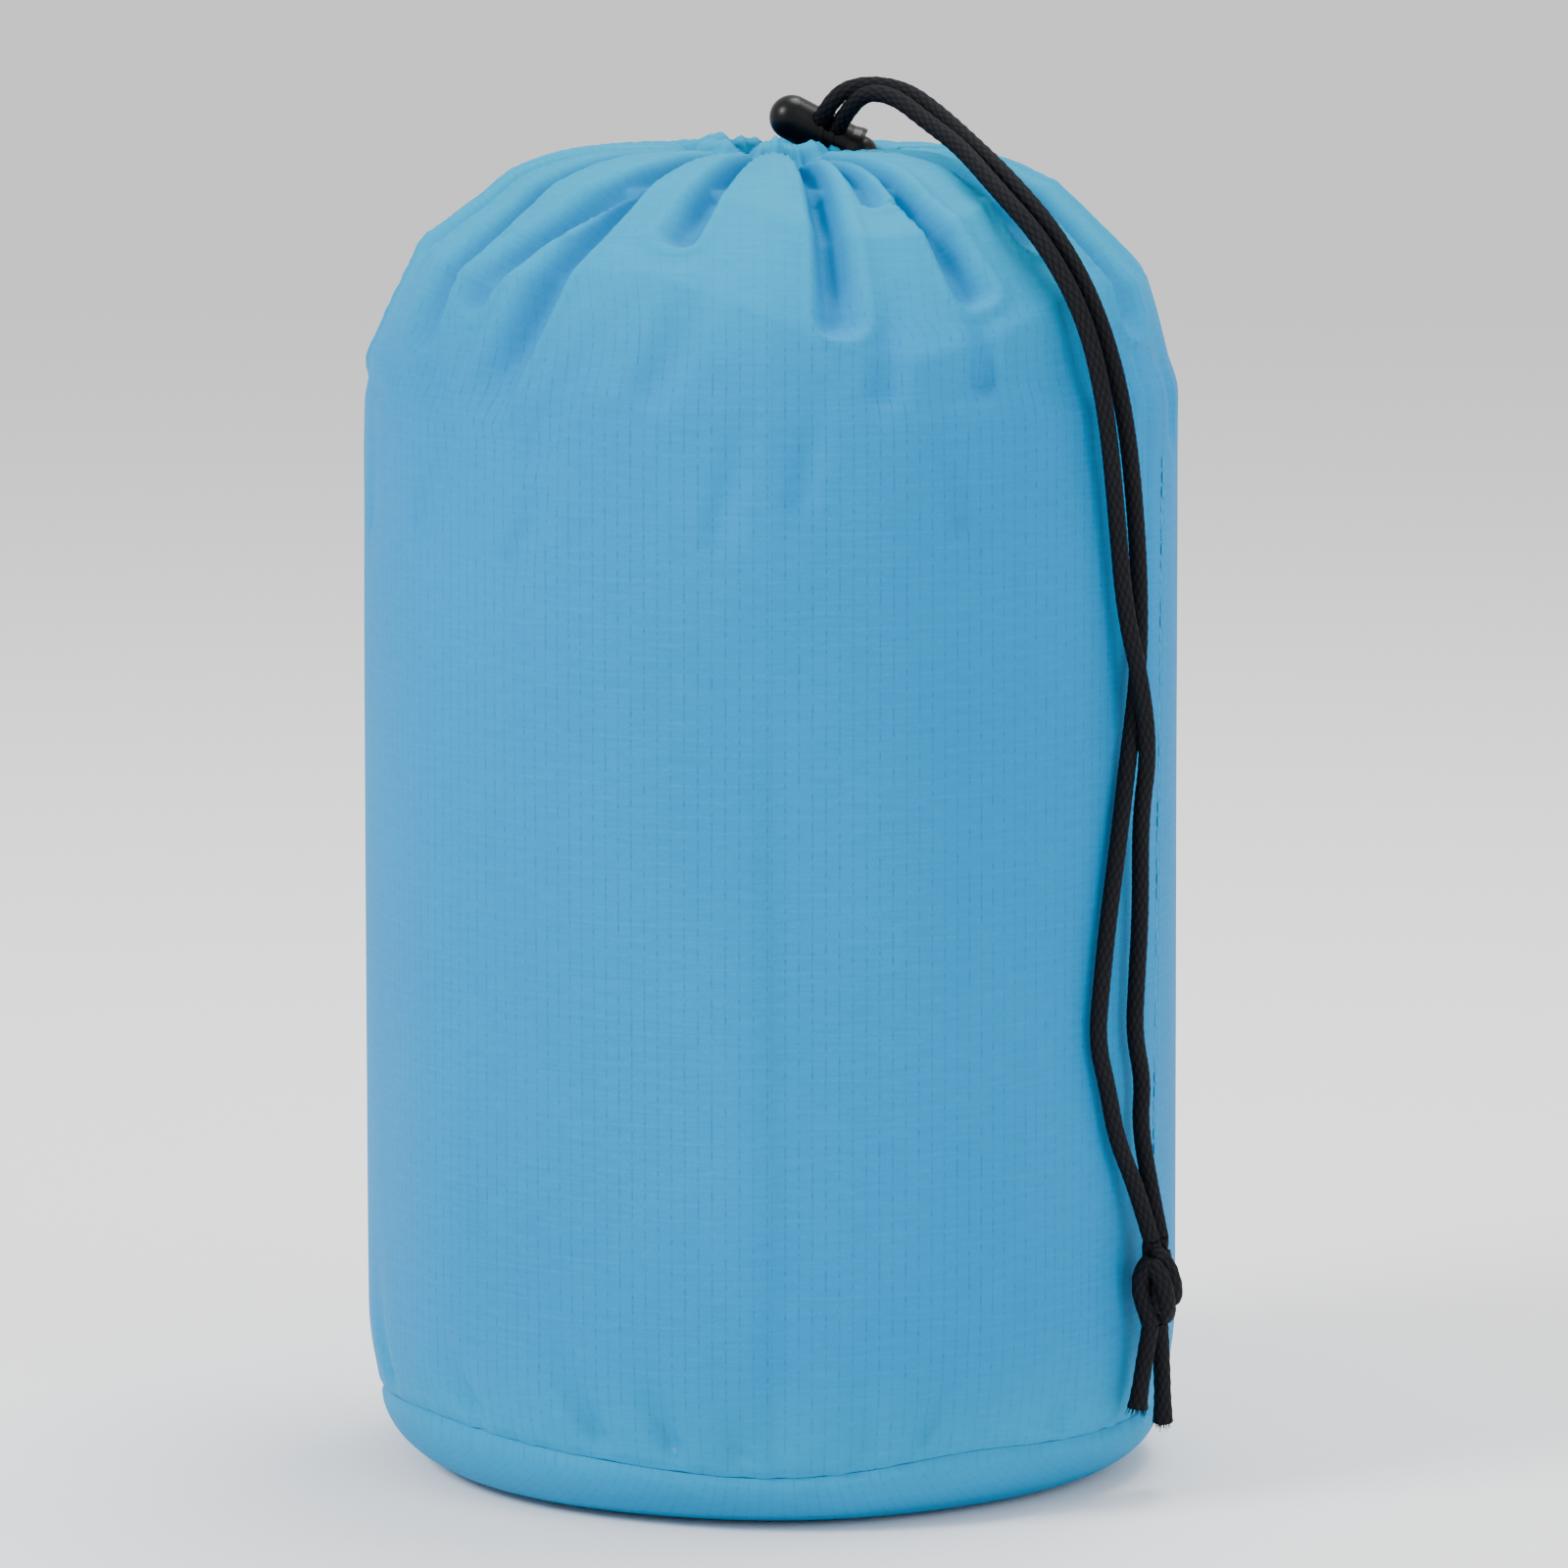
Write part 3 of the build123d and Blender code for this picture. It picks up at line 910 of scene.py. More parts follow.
    def _frayed_end(
        self, name: str, route: Sequence[Point], node: str, seed: int, finishes: FinishBook,
    ) -> Object:
        """A short cut end whose braid opens out into loose filaments.

        The braid widens over its last quarter.

        Args:
            name: the piece's name.
            route: the end's route.
            node: the node that it stands for.
            seed: sets how the filaments lie.
            finishes: the finishes.

        Returns:
            The end.
        """
        line = spline_path(route)
        flare = np.interp(np.linspace(0, 1, 60), [0, 0.72, 0.9, 1.0], [1.0, 1.0, 1.1, 1.22])
        body, path = self.braid.tube(name, line, finishes.cord, width=flare)
        hairs = self._filaments(name + "_filaments", path / MM, seed, finishes.cord)
        return self._joined(name, [body, hairs], node)

    def _filaments(self, name: str, path: Array, seed: int, yarn: Material) -> Object:
        """Loose filaments out of the end of a cord.

        Each is a thin tapered tube from inside the tip, bent away from the cord's middle by the
        square of the distance along it.

        Args:
            name: the object's name.
            path: the middle line of the cord, in millimetres.
            seed: sets how they lie.
            yarn: what they are made of.

        Returns:
            The filaments, as one object.
        """
        tip = path[-1]
        heading = unit(path[-1] - path[-8])
        side = unit(np.cross(heading, (0.3, 0.9, 0.1)))
        other = np.cross(heading, side)
        draw = np.random.default_rng(seed)
        count = self.filaments
        angle = draw.uniform(0, 2 * math.pi, count)
        start = 1.75 * np.sqrt(draw.uniform(0, 1, count))
        long = draw.uniform(0.5, 1.6, count)
        splay = draw.uniform(0.05, 0.4, count)
        t = np.linspace(0, 1, 5)
        away = side * np.cos(angle)[:, None] + other * np.sin(angle)[:, None]
        root = tip + away * start[:, None] - heading * 0.8
        spine = (root[:, None] + heading * ((long + 0.8)[:, None] * t)[..., None]
                 + away[:, None] * ((splay * long)[:, None] * t**2)[..., None])
        ring = np.linspace(0, 2 * math.pi, 4, endpoint=False)
        girth = (0.13 * (1 - 0.75 * t))[None, :, None, None]
        around = side * np.cos(ring)[:, None] + other * np.sin(ring)[:, None]
        points = spine[:, :, None] + girth * around[None, None]
        one = np.concatenate([grid_faces(5, 4, True, False), [[3, 2, 1, 0], [16, 17, 18, 19]]])
        quads = (one[None] + 20 * np.arange(count)[:, None, None]).reshape(-1, 4)
        hairs = make_object(name, points.reshape(-1, 3) * MM, quads, yarn,
                            np.zeros((quads.size, 2)))
        # the loose filaments get most of the painted sheen
        paint(hairs, "crown", np.full(len(hairs.data.vertices), 0.7))
        return hairs


# ---- cord lock ----------------------------------------------------------------------------------


@dataclass
class CordLock:
    """The spring barrel lock on the drawcord. Its shape is exact in the frame, and is dressed here."""

    end: Point = (0.0, 1.0, 248.7)
    axis: Point = (0.8846, 0.0, -0.4664)
    hole: Point = (0.2998, -0.7660, 0.5686)
    length: float = 19.0
    travel: float = 10.0
    reach: float = 5.2                   # half the lock's thickness and a little room

    def build(self, finishes: FinishBook) -> None:
        """Gives the barrel, the plunger and the spring their finishes."""
        for node, finish in (("lock_barrel", finishes.plastic), ("lock_plunger", finishes.plastic),
                             ("lock_spring", finishes.spring)):
            dress(node, finish)

    def clear(self, points: Array) -> Array:
        """Presses cloth down under the lock, over its whole travel.

        The lock is a rod as thick as twice its reach. At each of a few places of its travel, a
        point that lies sideways within the reach is held below the rod's underside.

        Args:
            points: points in millimetres.

        Returns:
            The moved points.
        """
        start = np.array(self.end)
        along = np.array(self.axis)
        out = np.array(self.hole)
        for travel in np.linspace(0, self.travel, 9):
            rel = points - start - travel * out
            place = start + travel * out + np.clip(rel @ along, 0, self.length)[:, None] * along
            side = np.linalg.norm((points - place)[:, :2], axis=1)
            under = place[:, 2] - np.sqrt(np.maximum(self.reach ** 2 - side ** 2, 0))
            points[:, 2] = np.where(side < self.reach, np.minimum(points[:, 2], under), points[:, 2])
        return points


def dress(node: str, finish: Material) -> None:
    """Gives a node of the frame its finish."""
    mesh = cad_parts[node].data
    mesh.materials.clear()
    mesh.materials.append(finish)


# ---- stuff sack ---------------------------------------------------------------------------------


@dataclass(frozen=True)
class Gutter:
    """One fold of the crown: a gutter pressed into the cloth, open at the mouth and round at its foot.

    Attributes:
        mouth: azimuth at the mouth, degrees from the front towards the right.
        foot: azimuth at its lower end.
        height: how high up the sack its lower end is, in millimetres.
        width: half its width at the foot.
        depth: its depth at the foot.
        top: height above which it fades out, for a soft one that doesn't reach the mouth.
    """

    mouth: float
    foot: float
    height: float
    width: float = 3.0
    depth: float = 2.4
    top: float | None = None


@dataclass(frozen=True)
class Pucker:
    """One pucker of the wall where it is sewn to the base.

    Attributes:
        seam: azimuth at the seam, degrees.
        top: azimuth at its upper end.
        height: how high up the sack it reaches, in millimetres.
        width: half its width.
        depth: its depth near the seam.
    """

    seam: float
    top: float
    height: float
    width: float
    depth: float


@dataclass
class StuffSack:
    """The round drawcord sack: one wall of cloth sewn to a round base, its mouth drawn shut."""

    radius: float = 74.6
    crown_start: float = 195.5           # the wall turns in above this height
    crown_arc: float = 46.3
    seam_radius: float = 72.3
    seam_height: float = 10.5            # at the front
    seam_usual: float = 12.4             # elsewhere
    foot_height: float = 30.0
    gather_radius: float = 17.0          # where the drawcord pulls the cloth together
    mouth_depth: float = 5.2             # of a gutter at the mouth
    gutter_width: float = 1.5            # how much wider than listed the long gutters are
    gutter_gain: float = 1.3             # how much deeper at their feet
    gutter_lean: float = 0.3             # how much steeper one side is
    soft_gain: float = 1.7               # how much deeper than listed the soft ones are
    pucker_gain: float = 1.7             # how much deeper than listed the puckers are
    mouth_low: float = 233.5
    channel_top: float = 235.8           # no gutter goes down to the cord in the channel
    channel_radius: float = 12.5
    cord_gap: float = 2.0                # from a cord's middle to the cloth
    lock_zone: float = 225.0             # only cloth above this can be under the lock
    facet: float = 30.0                  # degrees of the shoulder's arc
    fine: int = 2880                     # places round the sack at which spare cloth is shared out
    crowding: float = 9.0                # most that columns crowd in a gutter
    contact_radius: float = 56.0         # the flat of the base
    side_seam: float = 68.0              # azimuth in degrees
    stitch_bottom: float = 24.0
    stitch_top: float = 190.0
    stitch_pitch: float = 2.6
    columns: int = 468
    crown_rows: int = 148
    gutters: Sequence[Gutter] = (
        Gutter(0, -15, 230.5, 2.6, 2.6), Gutter(-6, -50, 219, 3.2, 2.3), Gutter(-17, -41, 202, 3.8, 2.6),
        Gutter(-46, -61, 212, 3.4, 2.0), Gutter(-66, -75, 226, 2.8, 2.0), Gutter(-80, -92, 208, 3.6, 2.4),
        Gutter(10, 9, 216, 3.0, 2.8), Gutter(14, 20, 236, 2.0, 2.0), Gutter(20, 31, 220.5, 2.8, 2.6),
        Gutter(50, 49, 229, 2.8, 2.0), Gutter(64, 66, 214, 3.4, 2.2), Gutter(79, 84, 224, 2.8, 2.0),
        Gutter(96, 104, 206, 3.8, 2.6), Gutter(112, 118, 227, 2.6, 2.0), Gutter(128, 139, 213, 3.2, 2.6),
        Gutter(146, 151, 204, 3.6, 2.2), Gutter(163, 172, 222, 2.8, 2.2), Gutter(180, 187, 209, 3.6, 2.8),
        Gutter(197, 208, 226, 2.6, 2.0), Gutter(214, 222, 205, 3.8, 2.6), Gutter(232, 239, 219, 3.0, 2.2),
        Gutter(248, 254, 229, 2.4, 2.0),
        Gutter(-20, -34, 191, 5.5, 0.9, 224), Gutter(-9, -16, 203, 6.0, 0.8, 228),
        Gutter(19, 16, 203, 5.0, 0.9, 226), Gutter(32, 31, 204, 4.0, 1.2, 219),
        Gutter(-58, -55, 200, 5.0, 0.8, 213), Gutter(60, 57, 197, 6.0, 0.8, 216),
        Gutter(122, 126, 196, 6.0, 0.9, 214), Gutter(196, 200, 192, 6.0, 0.9, 212),
        Gutter(236, 244, 198, 6.0, 0.8, 214), Gutter(76, 78, 193, 6.0, 0.9, 214),
        Gutter(-26, -37, 172, 4.6, 0.7, 203), Gutter(-44, -57, 178, 5.0, 0.7, 207),
        Gutter(-2, -7, 178, 4.2, 0.6, 205), Gutter(8, 4, 184, 3.8, 0.6, 208),
        Gutter(24, 27, 180, 4.0, 0.6, 207), Gutter(-72, -80, 176, 5.0, 0.7, 204),
        Gutter(100, 104, 176, 5.0, 0.7, 203), Gutter(152, 160, 172, 5.4, 0.7, 202),
        Gutter(178, 174, 178, 4.8, 0.6, 205), Gutter(214, 222, 174, 5.2, 0.7, 203),
    )
    waves: Sequence[tuple[float, int, float, float]] = (     # size, number, phase, drift per mm
        (0.42, 3, 0.9, 0.006), (0.30, 5, -1.3, -0.009), (0.20, 8, 2.2, 0.013), (0.12, 13, 0.0, 0.021),
    )
    puckers: Sequence[Pucker] = (
        Pucker(-24, -34, 40, 3.6, 1.5), Pucker(-13, -20, 36, 3.0, 1.5), Pucker(-4, -6, 24, 2.2, 1.0),
        Pucker(14, 12, 32, 3.0, 0.8), Pucker(20, 26, 33, 2.8, 1.0), Pucker(-46, -54, 34, 3.4, 1.2),
        Pucker(-72, -78, 42, 4.0, 1.2), Pucker(44, 49, 36, 3.4, 1.0), Pucker(66, 64, 30, 3.0, 1.1),
        Pucker(92, 97, 40, 3.8, 1.3), Pucker(118, 113, 34, 3.0, 1.2), Pucker(143, 149, 42, 3.8, 1.4),
        Pucker(168, 165, 30, 2.8, 1.0), Pucker(192, 198, 41, 3.6, 1.3), Pucker(221, 216, 33, 3.2, 1.1),
        Pucker(246, 251, 39, 3.6, 1.3),
    )

    def build(self, finishes: FinishBook, cord: Drawcord, lock: CordLock) -> None:
        """Makes the wall, the base and the visible sewing."""
        self._wall(finishes, cord, lock)
        self._base(finishes)
        self._stitches(finishes)

    def _wall(self, finishes: FinishBook, cord: Drawcord, lock: CordLock) -> None:
        """The wall of the sack, from the base seam to the mouth."""
        grid, deep, rest, uv = self._drape(cord, lock)
        wall = surface("stuff_sack_wall", grid, finishes.cloth, uv=uv)
        # how free the cloth stands: translucency, grid fade and painted through-light colour
        paint(wall, "open", self._openness(grid).reshape(-1))
        # the gutters' depth, which the cloth uses for its painted shade
        paint(wall, "deep", smooth(deep.reshape(-1) / 2.6) * 0.85)
        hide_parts("sack_wall", "drawcord_channel")
        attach(wall, Body.SACK.value)
        LOG.info("stuff_sack_wall: %d points", grid.shape[0] * grid.shape[1])

    def _meridian(self) -> tuple[Array, Array]:
        """The outline of the full sack from the base seam to the mouth.

        A foot that curves out to the wall, the upright wall, a quarter turn over the shoulder, a
        flat crest, a nip where the drawcord gathers the cloth, and the hem that stands up round the
        mouth and turns in, with rows closer together where the cloth folds.

        Returns:
            The outline, rows by (radius, height), and the length of cloth up to each row.
        """
        foot = np.linspace(0, 1, 26)
        bulge = self.radius - (self.radius - self.seam_radius) * (1 - foot) ** 2
        rise = self.seam_height + (self.foot_height - self.seam_height) * foot
        wall = np.linspace(self.foot_height, 150.0, 18)[1:]
        upper = np.linspace(150.0, self.crown_start, 32)[1:]
        turn = np.linspace(0, math.pi / 2, self.crown_rows // 2)[1:]
        centre = self.radius - self.crown_arc
        crest = self.crown_start + self.crown_arc
        flat = np.linspace(centre, self.gather_radius + 2.0, 13)[1:]
        hem = even(np.array([
            (self.gather_radius + 2.0, crest, 0), (self.gather_radius + 0.6, crest - 0.5, 0),
            (self.gather_radius - 0.3, crest - 1.4, 0), (self.gather_radius - 1.2, crest - 0.8, 0),
            (14.6, crest + 0.9, 0), (12.6, crest + 1.8, 0), (10.8, crest + 0.8, 0), (9.9, crest - 1.8, 0),
            (9.8, self.mouth_low, 0)]), 0.8)[1:]
        radius = np.concatenate([bulge, np.full(len(wall) + len(upper), self.radius),
                                 centre + self.crown_arc * np.cos(turn), flat, hem[:, 0]])
        height = np.concatenate([rise, wall, upper, self.crown_start + self.crown_arc * np.sin(turn),
                                 np.full(len(flat), crest), hem[:, 1]])
        outline = np.stack([radius, height], 1)
        return outline, np.concatenate([[0.0], np.cumsum(np.linalg.norm(np.diff(outline, axis=0), axis=1))])

    def _openness(self, grid: Array) -> Array:
        """How free the cloth stands, 0 where it lies on the roll and 1 where one layer stands free: it
        sets the translucency, fades the grid and mixes in the painted through-light colour.
        """
        crown = smooth((grid[..., 2] - 198.0) / 40.0)
        foot = 0.45 * smooth((34.0 - grid[..., 2]) / 22.0)
        return np.clip(crown + foot, 0, 1)

    def _seam_line(self, theta: Array) -> Array:
        """Height of the base seam: low at the front, and up where the sack leans on its edge."""
        turn = wrapped(theta)
        front = -2.0 * bell(turn / 0.34)
        left = 2.6 * bell((turn + 1.05) / 0.45)
        right = 1.1 * bell((turn - 0.52) / 0.22)
        behind = 0.5 * np.sin(4 * theta + 1.0) * np.clip(np.abs(turn) - 1.2, 0, 1)
        return self.seam_usual + front + left + right + behind

    def _gathers(self, theta: Array) -> Array:
        """Small gathers along the base seam: waves of uneven length, from -1 to 1."""
        coarse = np.sin(61 * theta + 1.4 * np.sin(5 * theta))
        fine = np.sin(97 * theta + 2.0 * np.sin(3 * theta))
        return (coarse * 0.6 + fine * 0.4) * (0.55 + 0.45 * np.sin(7 * theta + 0.5))

    def _drawn_in(self, theta: Array, up: Array) -> Array:
        """How deep the base seam draws the wall in: long puckers, small gathers and the groove.

        Each pucker is deepest at the seam and runs out at its upper end, with a bell-shaped section.

        Args:
            theta: azimuths, rows by columns.
            up: height above the seam.

        Returns:
            The depth in millimetres.
        """
        total = 0.45 * bell(up / 1.1) + 0.3 * self._gathers(theta) * bell(up / 4.5)
        for pucker in self.puckers:
            reach = pucker.height - self.seam_height
            turn = np.clip(up / reach, 0, 1.6)
            place = np.radians(pucker.seam + (pucker.top - pucker.seam) * np.minimum(turn, 1.0))
            side = wrapped(theta - place) * self.radius
            width = pucker.width * (0.65 + 0.6 * turn)
            fall = (1 - smooth(turn / 1.15)) * (0.12 + 0.88 * smooth(up / 5.0))
            total = total + self.pucker_gain * pucker.depth * bell(side / width) * fall
        return total

    def _base(self, finishes: FinishBook) -> None:
        """The round base: it bulges out below the seam, turns under and lies flat in the middle.

        The rim is a quarter of an ellipse from the seam to the flat, and the middle a flat disc
        whose rings shrink to a point.
        """
        columns = self.columns
        theta = (np.arange(columns) / columns * 2 * math.pi)[None]
        bend = np.concatenate([[0.0, 0.03, 0.07], np.linspace(0.12, 1, 26)])[:, None] * math.pi / 2
        seam = self._seam_line(theta)
        drop = seam * (1 - np.sin(bend))
        down = seam - drop
        out = self.seam_radius - self.contact_radius
        nip = 0.55 * bell(down / 0.9) + 0.2 * self._gathers(theta) * bell(down / 3.5)
        side = wrapped(theta) * self.radius
        crease = 0.5 * bell((side + 17.0 - 0.9 * down) / 1.6) * bell((down - 4.5) / 3.0)
        wave = 0.5 * np.sin(6 * theta + 0.4) * np.sin(bend) * np.cos(bend)
        radius = self.contact_radius + out * np.cos(bend) + 0.4 * np.sin(2 * bend) + wave - nip + crease
        rings = np.linspace(1, 0.02, 24)[1:, None]
        inner = self.contact_radius * rings * np.ones_like(theta)
        radius = np.concatenate([radius, inner])
        height = np.concatenate([drop, np.zeros_like(inner)])
        theta = np.broadcast_to(theta, radius.shape)
        grid = np.stack([radius * np.sin(theta), -radius * np.cos(theta), height], axis=-1)
        closed = np.concatenate([grid, grid[:, :1]], axis=1)
        flat = closed[..., :2] * (1 + 0.25 * (closed[..., 2:] / self.seam_height).clip(0, 1))
        base = surface("stuff_sack_base", grid, finishes.cloth, flip=True, uv=flat * MM)
        # the base: a fainter grid and a little of the painted through-light colour
        paint(base, "open", 0.3 + 0.1 * (height.reshape(-1) > 2.0))
        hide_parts("base_panel")
        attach(base, Body.SACK.value)

    def _stitches(self, finishes: FinishBook) -> None:
        """The row of lockstitches down the felled side seam.

        One stitch is a small spindle: rings whose radius is a sine along it. All are one array.
        """
        count = int((self.stitch_top - self.stitch_bottom) / self.stitch_pitch)
        high = self.stitch_bottom + self.stitch_pitch * np.arange(count)
        turn = np.linspace(0, 2 * math.pi, 6, endpoint=False)
        along = np.linspace(0, 1, 5)
        girth = 0.24 * np.sin(math.pi * np.clip(along, 0.06, 0.94)) ** 0.5
        azimuth = math.radians(self.side_seam + 1.4)
        theta = np.full((count, 1), azimuth)
        wall = self.radius + self._undulation(theta, high[:, None])[:, 0] + 0.12
        out = wall[:, None, None] + girth[None, :, None] * np.cos(turn)[None, None]
        side = girth[None, :, None] * np.sin(turn)[None, None] * np.ones_like(out)
        up = high[:, None, None] + (self.stitch_pitch * 0.82 * along)[None, :, None] * np.ones_like(out)
        points = np.stack([out * math.sin(azimuth) + side * math.cos(azimuth),
                           -out * math.cos(azimuth) + side * math.sin(azimuth), up], axis=-1)
        caps = np.array([[0, 1, 2, 3], [0, 3, 4, 5], [27, 26, 25, 24], [29, 28, 27, 24]])
        one = np.concatenate([grid_faces(5, 6, True, False), caps[:, ::-1]])
        quads = (one[None] + 30 * np.arange(count)[:, None, None]).reshape(-1, 4)
        stitches = make_object("side_seam_stitches", points.reshape(-1, 3) * MM, quads, finishes.thread)
        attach(stitches, Body.SACK.value)

    def _felled(self, theta: Array, height: Array) -> Array:
        """The felled side seam: a low flat band with a groove at its sewn edge."""
        side = wrapped(theta - math.radians(self.side_seam)) * self.radius
        band = 0.35 * smooth((side + 4.5) / 0.8) * smooth((4.5 - side) / 0.8)
        groove = 0.22 * bell((side - 1.8) / 0.5)
        pucker = 0.1 * np.sin(height * 1.9) * bell((side - 1.8) / 2.0)
        return (band - groove + pucker) * smooth((230.0 - height) / 20.0) * smooth((height - 12.0) / 6.0)

    def _pressed(self, theta: Array, outline: Array, along: Array) -> tuple[Array, Array]:
        """How deep the gutters press the cloth in at each place.

        Where gutters meet, the deeper one counts. Round the mouth the hem stands up in lumps.

        Args:
            theta: azimuths, rows by columns.
            outline: rows by (radius, height).
            along: length of cloth up to each row.

        Returns:
            The depth in millimetres, and the share of each place that lies in a gutter.
        """
        crest = int(np.argmax(outline[:, 1] > self.crown_start + self.crown_arc - 0.01))
        top = along[-1]
        hem = float(np.interp(-self.gather_radius, -outline[crest:, 0], along[crest:]))
        reached = np.zeros((3, *theta.shape))
        for gutter in self.gutters:
            foot = float(np.interp(gutter.height, outline[:crest, 1], along[:crest]))
            end = top
            if gutter.top is not None:
                end = float(np.interp(gutter.top, outline[:crest, 1], along[:crest]))
            reached = np.maximum(reached, self._one_gutter(gutter, theta, outline, along, (foot, end, hem)))
        deep, rim, skirt = reached
        lumps = 0.8 * np.sin(5 * theta + 0.7) + 0.5 * np.sin(9 * theta + 2.0)
        hemmed = smooth((along - hem) / 3.0) * smooth((top - along) / 6.0)
        pressed = deep + skirt - rim * (1 - np.clip(deep, 0, 1)) - lumps * hemmed[:, None]
        return pressed, np.clip(deep / 2.0, 0, 1)

    def _one_gutter(
        self, gutter: Gutter, theta: Array, outline: Array, along: Array, ends: tuple[float, float, float],
    ) -> Array:
        """What one gutter does to the cloth.

        rho is the distance to its middle line over its half width, and below the foot the distance
        to its end, so that the foot is round. The depth falls from rho 0.1 to 1 as a smoothstep, a
        low rim stands at rho 1.2, and the cloth around sinks a little in a wide bell. A long gutter
        has one steep and one gentle side, and the stiff hem takes up little of it.

        Args:
            gutter: the gutter.
            theta: azimuths, rows by columns.
            outline: rows by (radius, height).
            along: length of cloth up to each row.
            ends: length of cloth up to its foot, to its upper end and to the hem.

        Returns:
            The depth of the gutter, the height of its rim and the depth of the bell, as one array.
        """
        foot, end, hem = ends
        turn = np.clip((along - foot) / (end - foot), 0, 1)
        place = np.radians(gutter.foot + (gutter.mouth - gutter.foot) * turn)
        slant = np.cos(np.arctan(np.gradient(place, along) * outline[:, 0]))
        side = wrapped(theta - place[:, None]) * (outline[:, 0] * slant)[:, None]
        below = np.maximum(foot - along, 0)[:, None]
        if gutter.top is None:
            side = side * (1 - self.gutter_lean * np.sign(gutter.foot) * np.sign(side))
            width = self.gutter_width * gutter.width * (1 - 0.7 * turn ** 0.75)
            start = self.gutter_gain * gutter.depth
            depth = start + (self.mouth_depth - start) * turn
            depth = depth * (0.65 + 0.35 * smooth((along - foot) / 9.0))
            depth = depth * (1 - 0.9 * smooth((along - hem + 2.0) / 4.0))
            standing = 0.36 * (1 - 0.75 * turn[:, None])
        else:
            width = np.full(len(along), gutter.width)
            depth = self.soft_gain * gutter.depth * (1 - smooth(turn * 1.02))
            standing = 0.05
        rho = np.hypot(side, below) / width[:, None]
        return np.stack([
            depth[:, None] * (1 - smooth((rho - 0.1) / 0.9)),
            gutter.depth * standing * bell((rho - 1.22) / 0.26),
            0.3 * gutter.depth * bell(rho / 2.6),
        ])

    def _undulation(self, theta: Array, height: Array) -> Array:
        """The slack of the wall: long soft facets over the roll, and one crease up the front.

        A sum of slow sines round the sack that drift with height. The crease is a ridge that falls
        away slowly to the left and quickly to the right.
        """
        slow = sum(size * np.sin(count * theta + phase + drift * height)
                   for size, count, phase, drift in self.waves)
        wall = smooth((height - 18.0) / 26.0) * smooth((222.0 - height) / 30.0)
        across = wrapped(theta) * self.radius + 4.0
        left = np.clip(1 + across / 34.0, 0, 1) * (across <= 0)
        right = (1 - 1.35 * smooth(across / 7.0) + 0.35 * smooth((across - 7.0) / 14.0)) * (across > 0)
        crease = 0.95 * (left + right) * smooth((height - 12.0) / 16.0) * smooth((168.0 - height) / 70.0)
        return slow * wall + crease + self._felled(theta, height)

    def _faceted(self, theta: Array, outline: Array) -> Array:
        """How far the shoulder lies inside its round outline: flat facets between soft edges.

        A chord of a circle lies inside it by arc * (1 - cos(half) / cos(turn - half)). The facets
        shift up and down round the sack.
        """
        rise = outline[:, 1:2] - self.crown_start
        turn = np.degrees(np.arcsin(np.clip(rise / self.crown_arc, 0, 1)))
        turn = turn + 9.0 * np.sin(2 * theta + 0.6) + 5.0 * np.sin(5 * theta)
        half = math.radians(self.facet / 2)
        within = np.radians(turn % self.facet) - half
        hidden = self.crown_arc * (1 - math.cos(half) / np.cos(within))
        share = smooth(rise / 9.0) * smooth((self.crown_arc - 2.0 - rise) / 6.0)
        return 0.9 * hidden * share

    def _columns(self, outline: Array, along: Array) -> Array:
        """Where each column of the grid lies on each row.

        The cloth is as long around everywhere. Where the sack is narrower, the spare cloth goes
        into the gutters: the columns crowd there, and run true to length between them.

        Args:
            outline: rows by (radius, height).
            along: length of cloth up to each row.

        Returns:
            Azimuths, rows by columns.
        """
        fine = np.arange(self.fine) / self.fine * 2 * math.pi
        wide = np.broadcast_to(fine[None], (len(outline), len(fine)))
        _, inside = self._pressed(wide, outline, along)
        spare = np.maximum(2 * math.pi * (self.radius - outline[:, 0]), 0)
        taken = inside.mean(1) * 2 * math.pi * outline[:, 0]
        extra = np.minimum(spare / np.maximum(taken, 1e-6), self.crowding)
        density = 1 + extra[:, None] * inside
        density = density / density.mean(1, keepdims=True)
        used = np.concatenate([np.zeros((len(outline), 1)), np.cumsum(density, 1)], 1) / len(fine)
        fine = np.append(fine, 2 * math.pi)
        columns = np.arange(self.columns) / self.columns
        return np.stack([np.interp(columns, row, fine) for row in used])

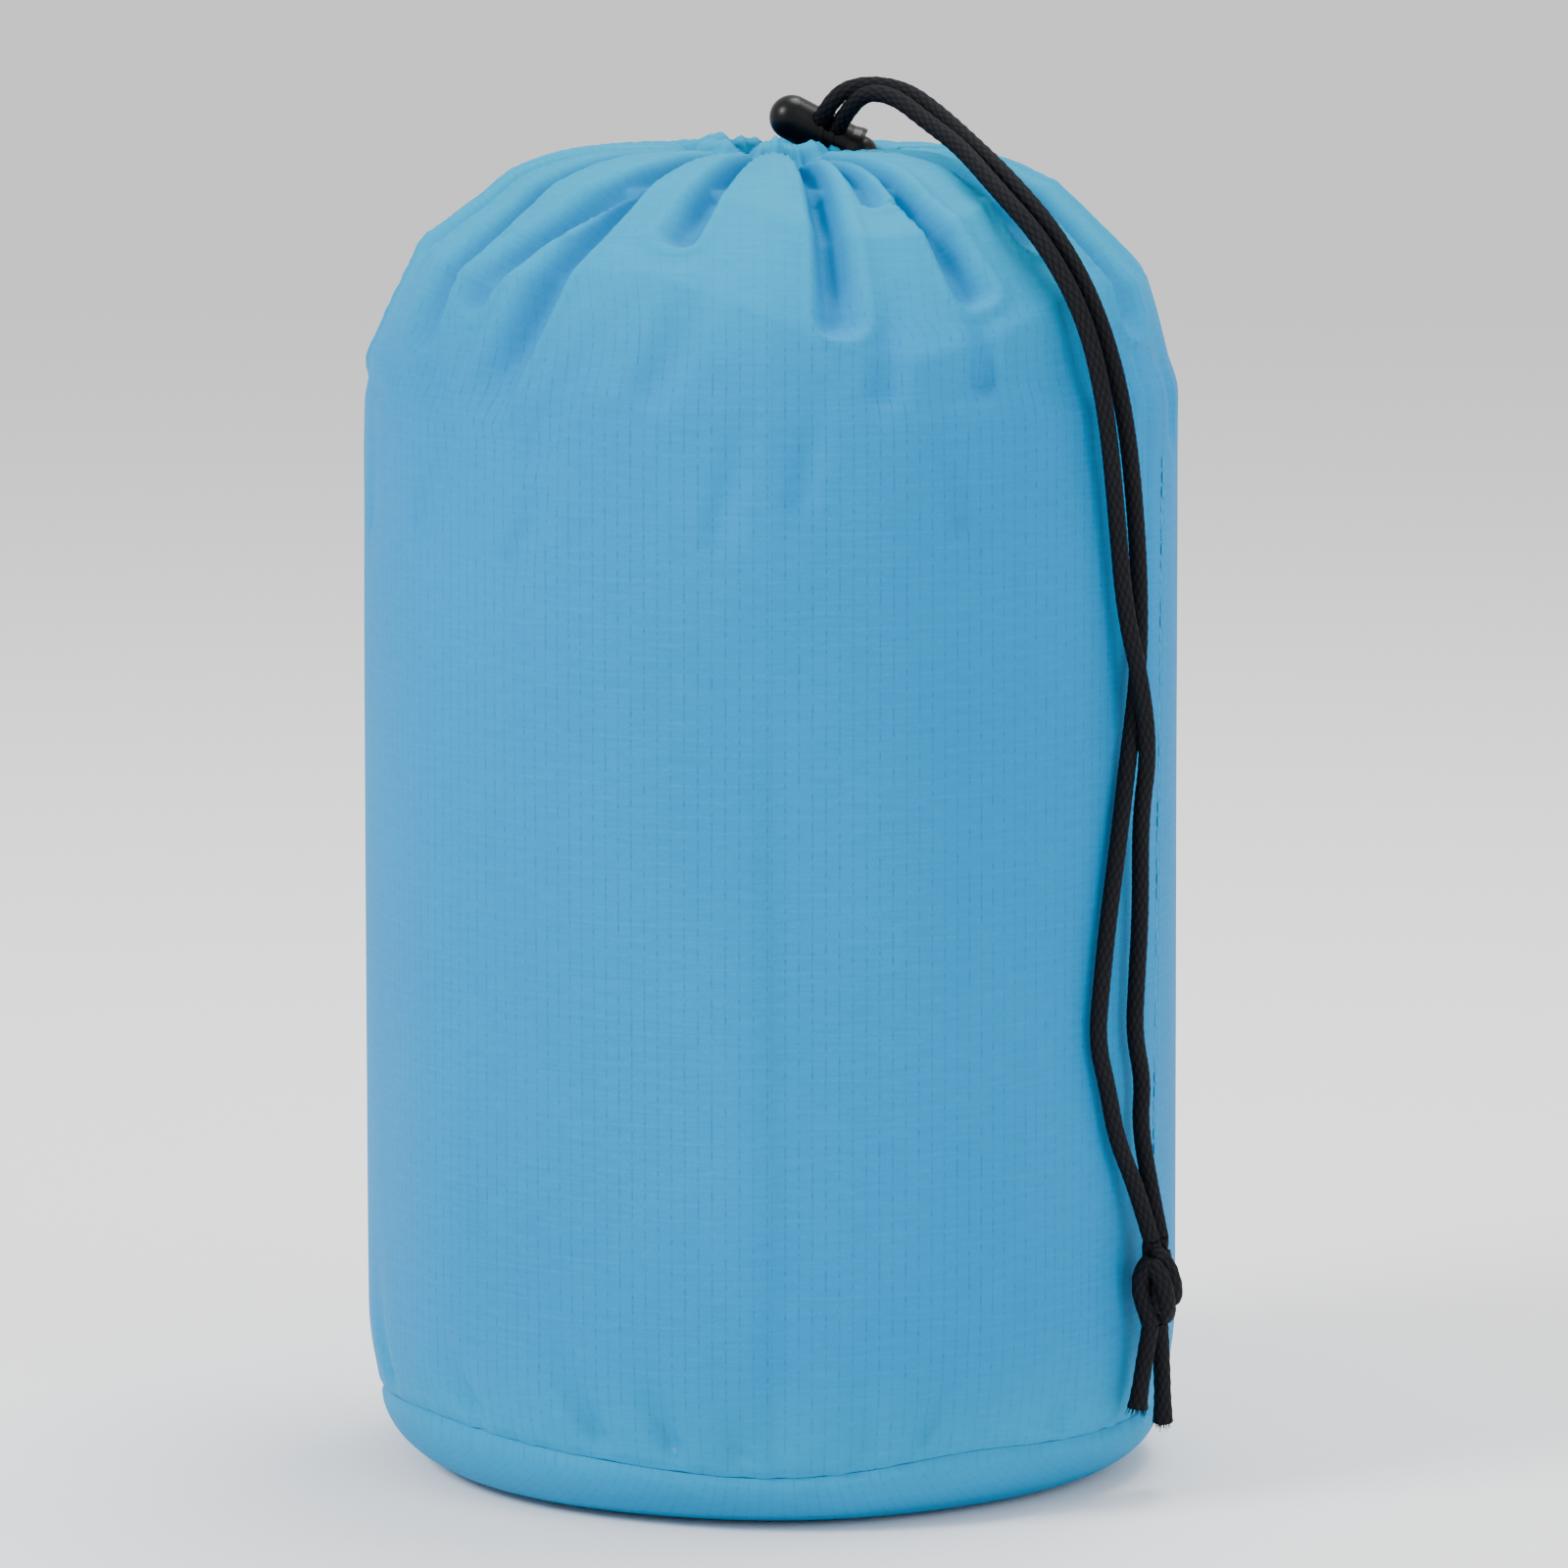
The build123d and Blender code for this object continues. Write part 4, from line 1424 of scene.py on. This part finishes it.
    def _drape(self, cord: Drawcord, lock: CordLock) -> tuple[Array, Array, float, Array]:
        """Lays the cloth over its contents, row by row, and keeps it off the cords and the lock.

        Args:
            cord: the drawcord.
            lock: its lock.

        Returns:
            The grid in millimetres, the depth of the gutters, the cloth's height when flat, and the
            UV in metres.
        """
        outline, along = self._meridian()
        theta = self._columns(outline, along)
        pressed, _ = self._pressed(theta, outline, along)
        tangent = unit(np.gradient(outline, axis=0))
        inward = np.stack([-tangent[:, 1], tangent[:, 0]], 1)
        above = outline[:, 1:2] - self.seam_height
        lift = (self._seam_line(theta) - self.seam_height) * smooth(
            1 - above / (self.foot_height - self.seam_height))
        shift = pressed - self._undulation(theta, outline[:, 1:2])
        shift = shift + self._drawn_in(theta, above) + self._faceted(theta, outline)
        radius = outline[:, 0:1] + inward[:, 0:1] * shift
        height = outline[:, 1:2] + inward[:, 1:2] * shift + lift
        over = (outline[:, 0] > self.channel_radius) & (outline[:, 1] > self.channel_top + 2.2)
        height[over] = np.maximum(height[over], self.channel_top)
        grid = np.stack([radius * np.sin(theta), -radius * np.cos(theta), height], axis=-1)
        flat = grid.reshape(-1, 3)
        high = flat[:, 2] > self.lock_zone
        flat[high] = lock.clear(flat[high])
        for line in cord.lines():
            flat = clear_of_line(flat, line, self.cord_gap)
        grid = flat.reshape(grid.shape)
        across = np.linspace(0, 2 * math.pi * self.radius, self.columns + 1)
        uv = np.stack(np.broadcast_arrays(across[None], along[:, None]), axis=-1) * MM
        return grid, pressed, float(along[-1]), uv


# ---- rolled bivy sack ---------------------------------------------------------------------------


class RolledBivy:
    """What the sack holds, hidden once it is packed: the two sheets rolled together, the zip and the
    hood's own cord and lock."""

    def build(self, finishes: FinishBook) -> None:
        """Gives each piece of the contents its finish."""
        for node, finish in (
            ("bivy_upper_sheet", finishes.bivy), ("bivy_floor_sheet", finishes.bivy),
            ("zip_tape", finishes.zip_tape), ("zip_chain", finishes.plastic),
            ("zip_slider", finishes.zip_metal), ("zip_pull", finishes.zip_metal),
            ("hood_drawcord", finishes.zip_tape), ("hood_cord_lock", finishes.plastic),
            ("base_seam_tape", finishes.tape), ("side_seam_tape", finishes.tape),
            ("channel_bartacks", finishes.tape),
        ):
            dress(node, finish)


def main() -> None:
    """Builds the object piece by piece around the frame."""
    logging.basicConfig(level=logging.INFO, format="%(name)s: %(message)s")
    Studio().build()
    finishes = FinishBook()
    cord = Drawcord()
    lock = CordLock()
    cord.build(finishes)
    LOG.info("drawcord built")
    lock.build(finishes)
    LOG.info("cord lock dressed")
    RolledBivy().build(finishes)
    LOG.info("contents dressed")
    StuffSack().build(finishes, cord, lock)
    LOG.info("stuff sack built")


if __name__ == "__main__":
    main()
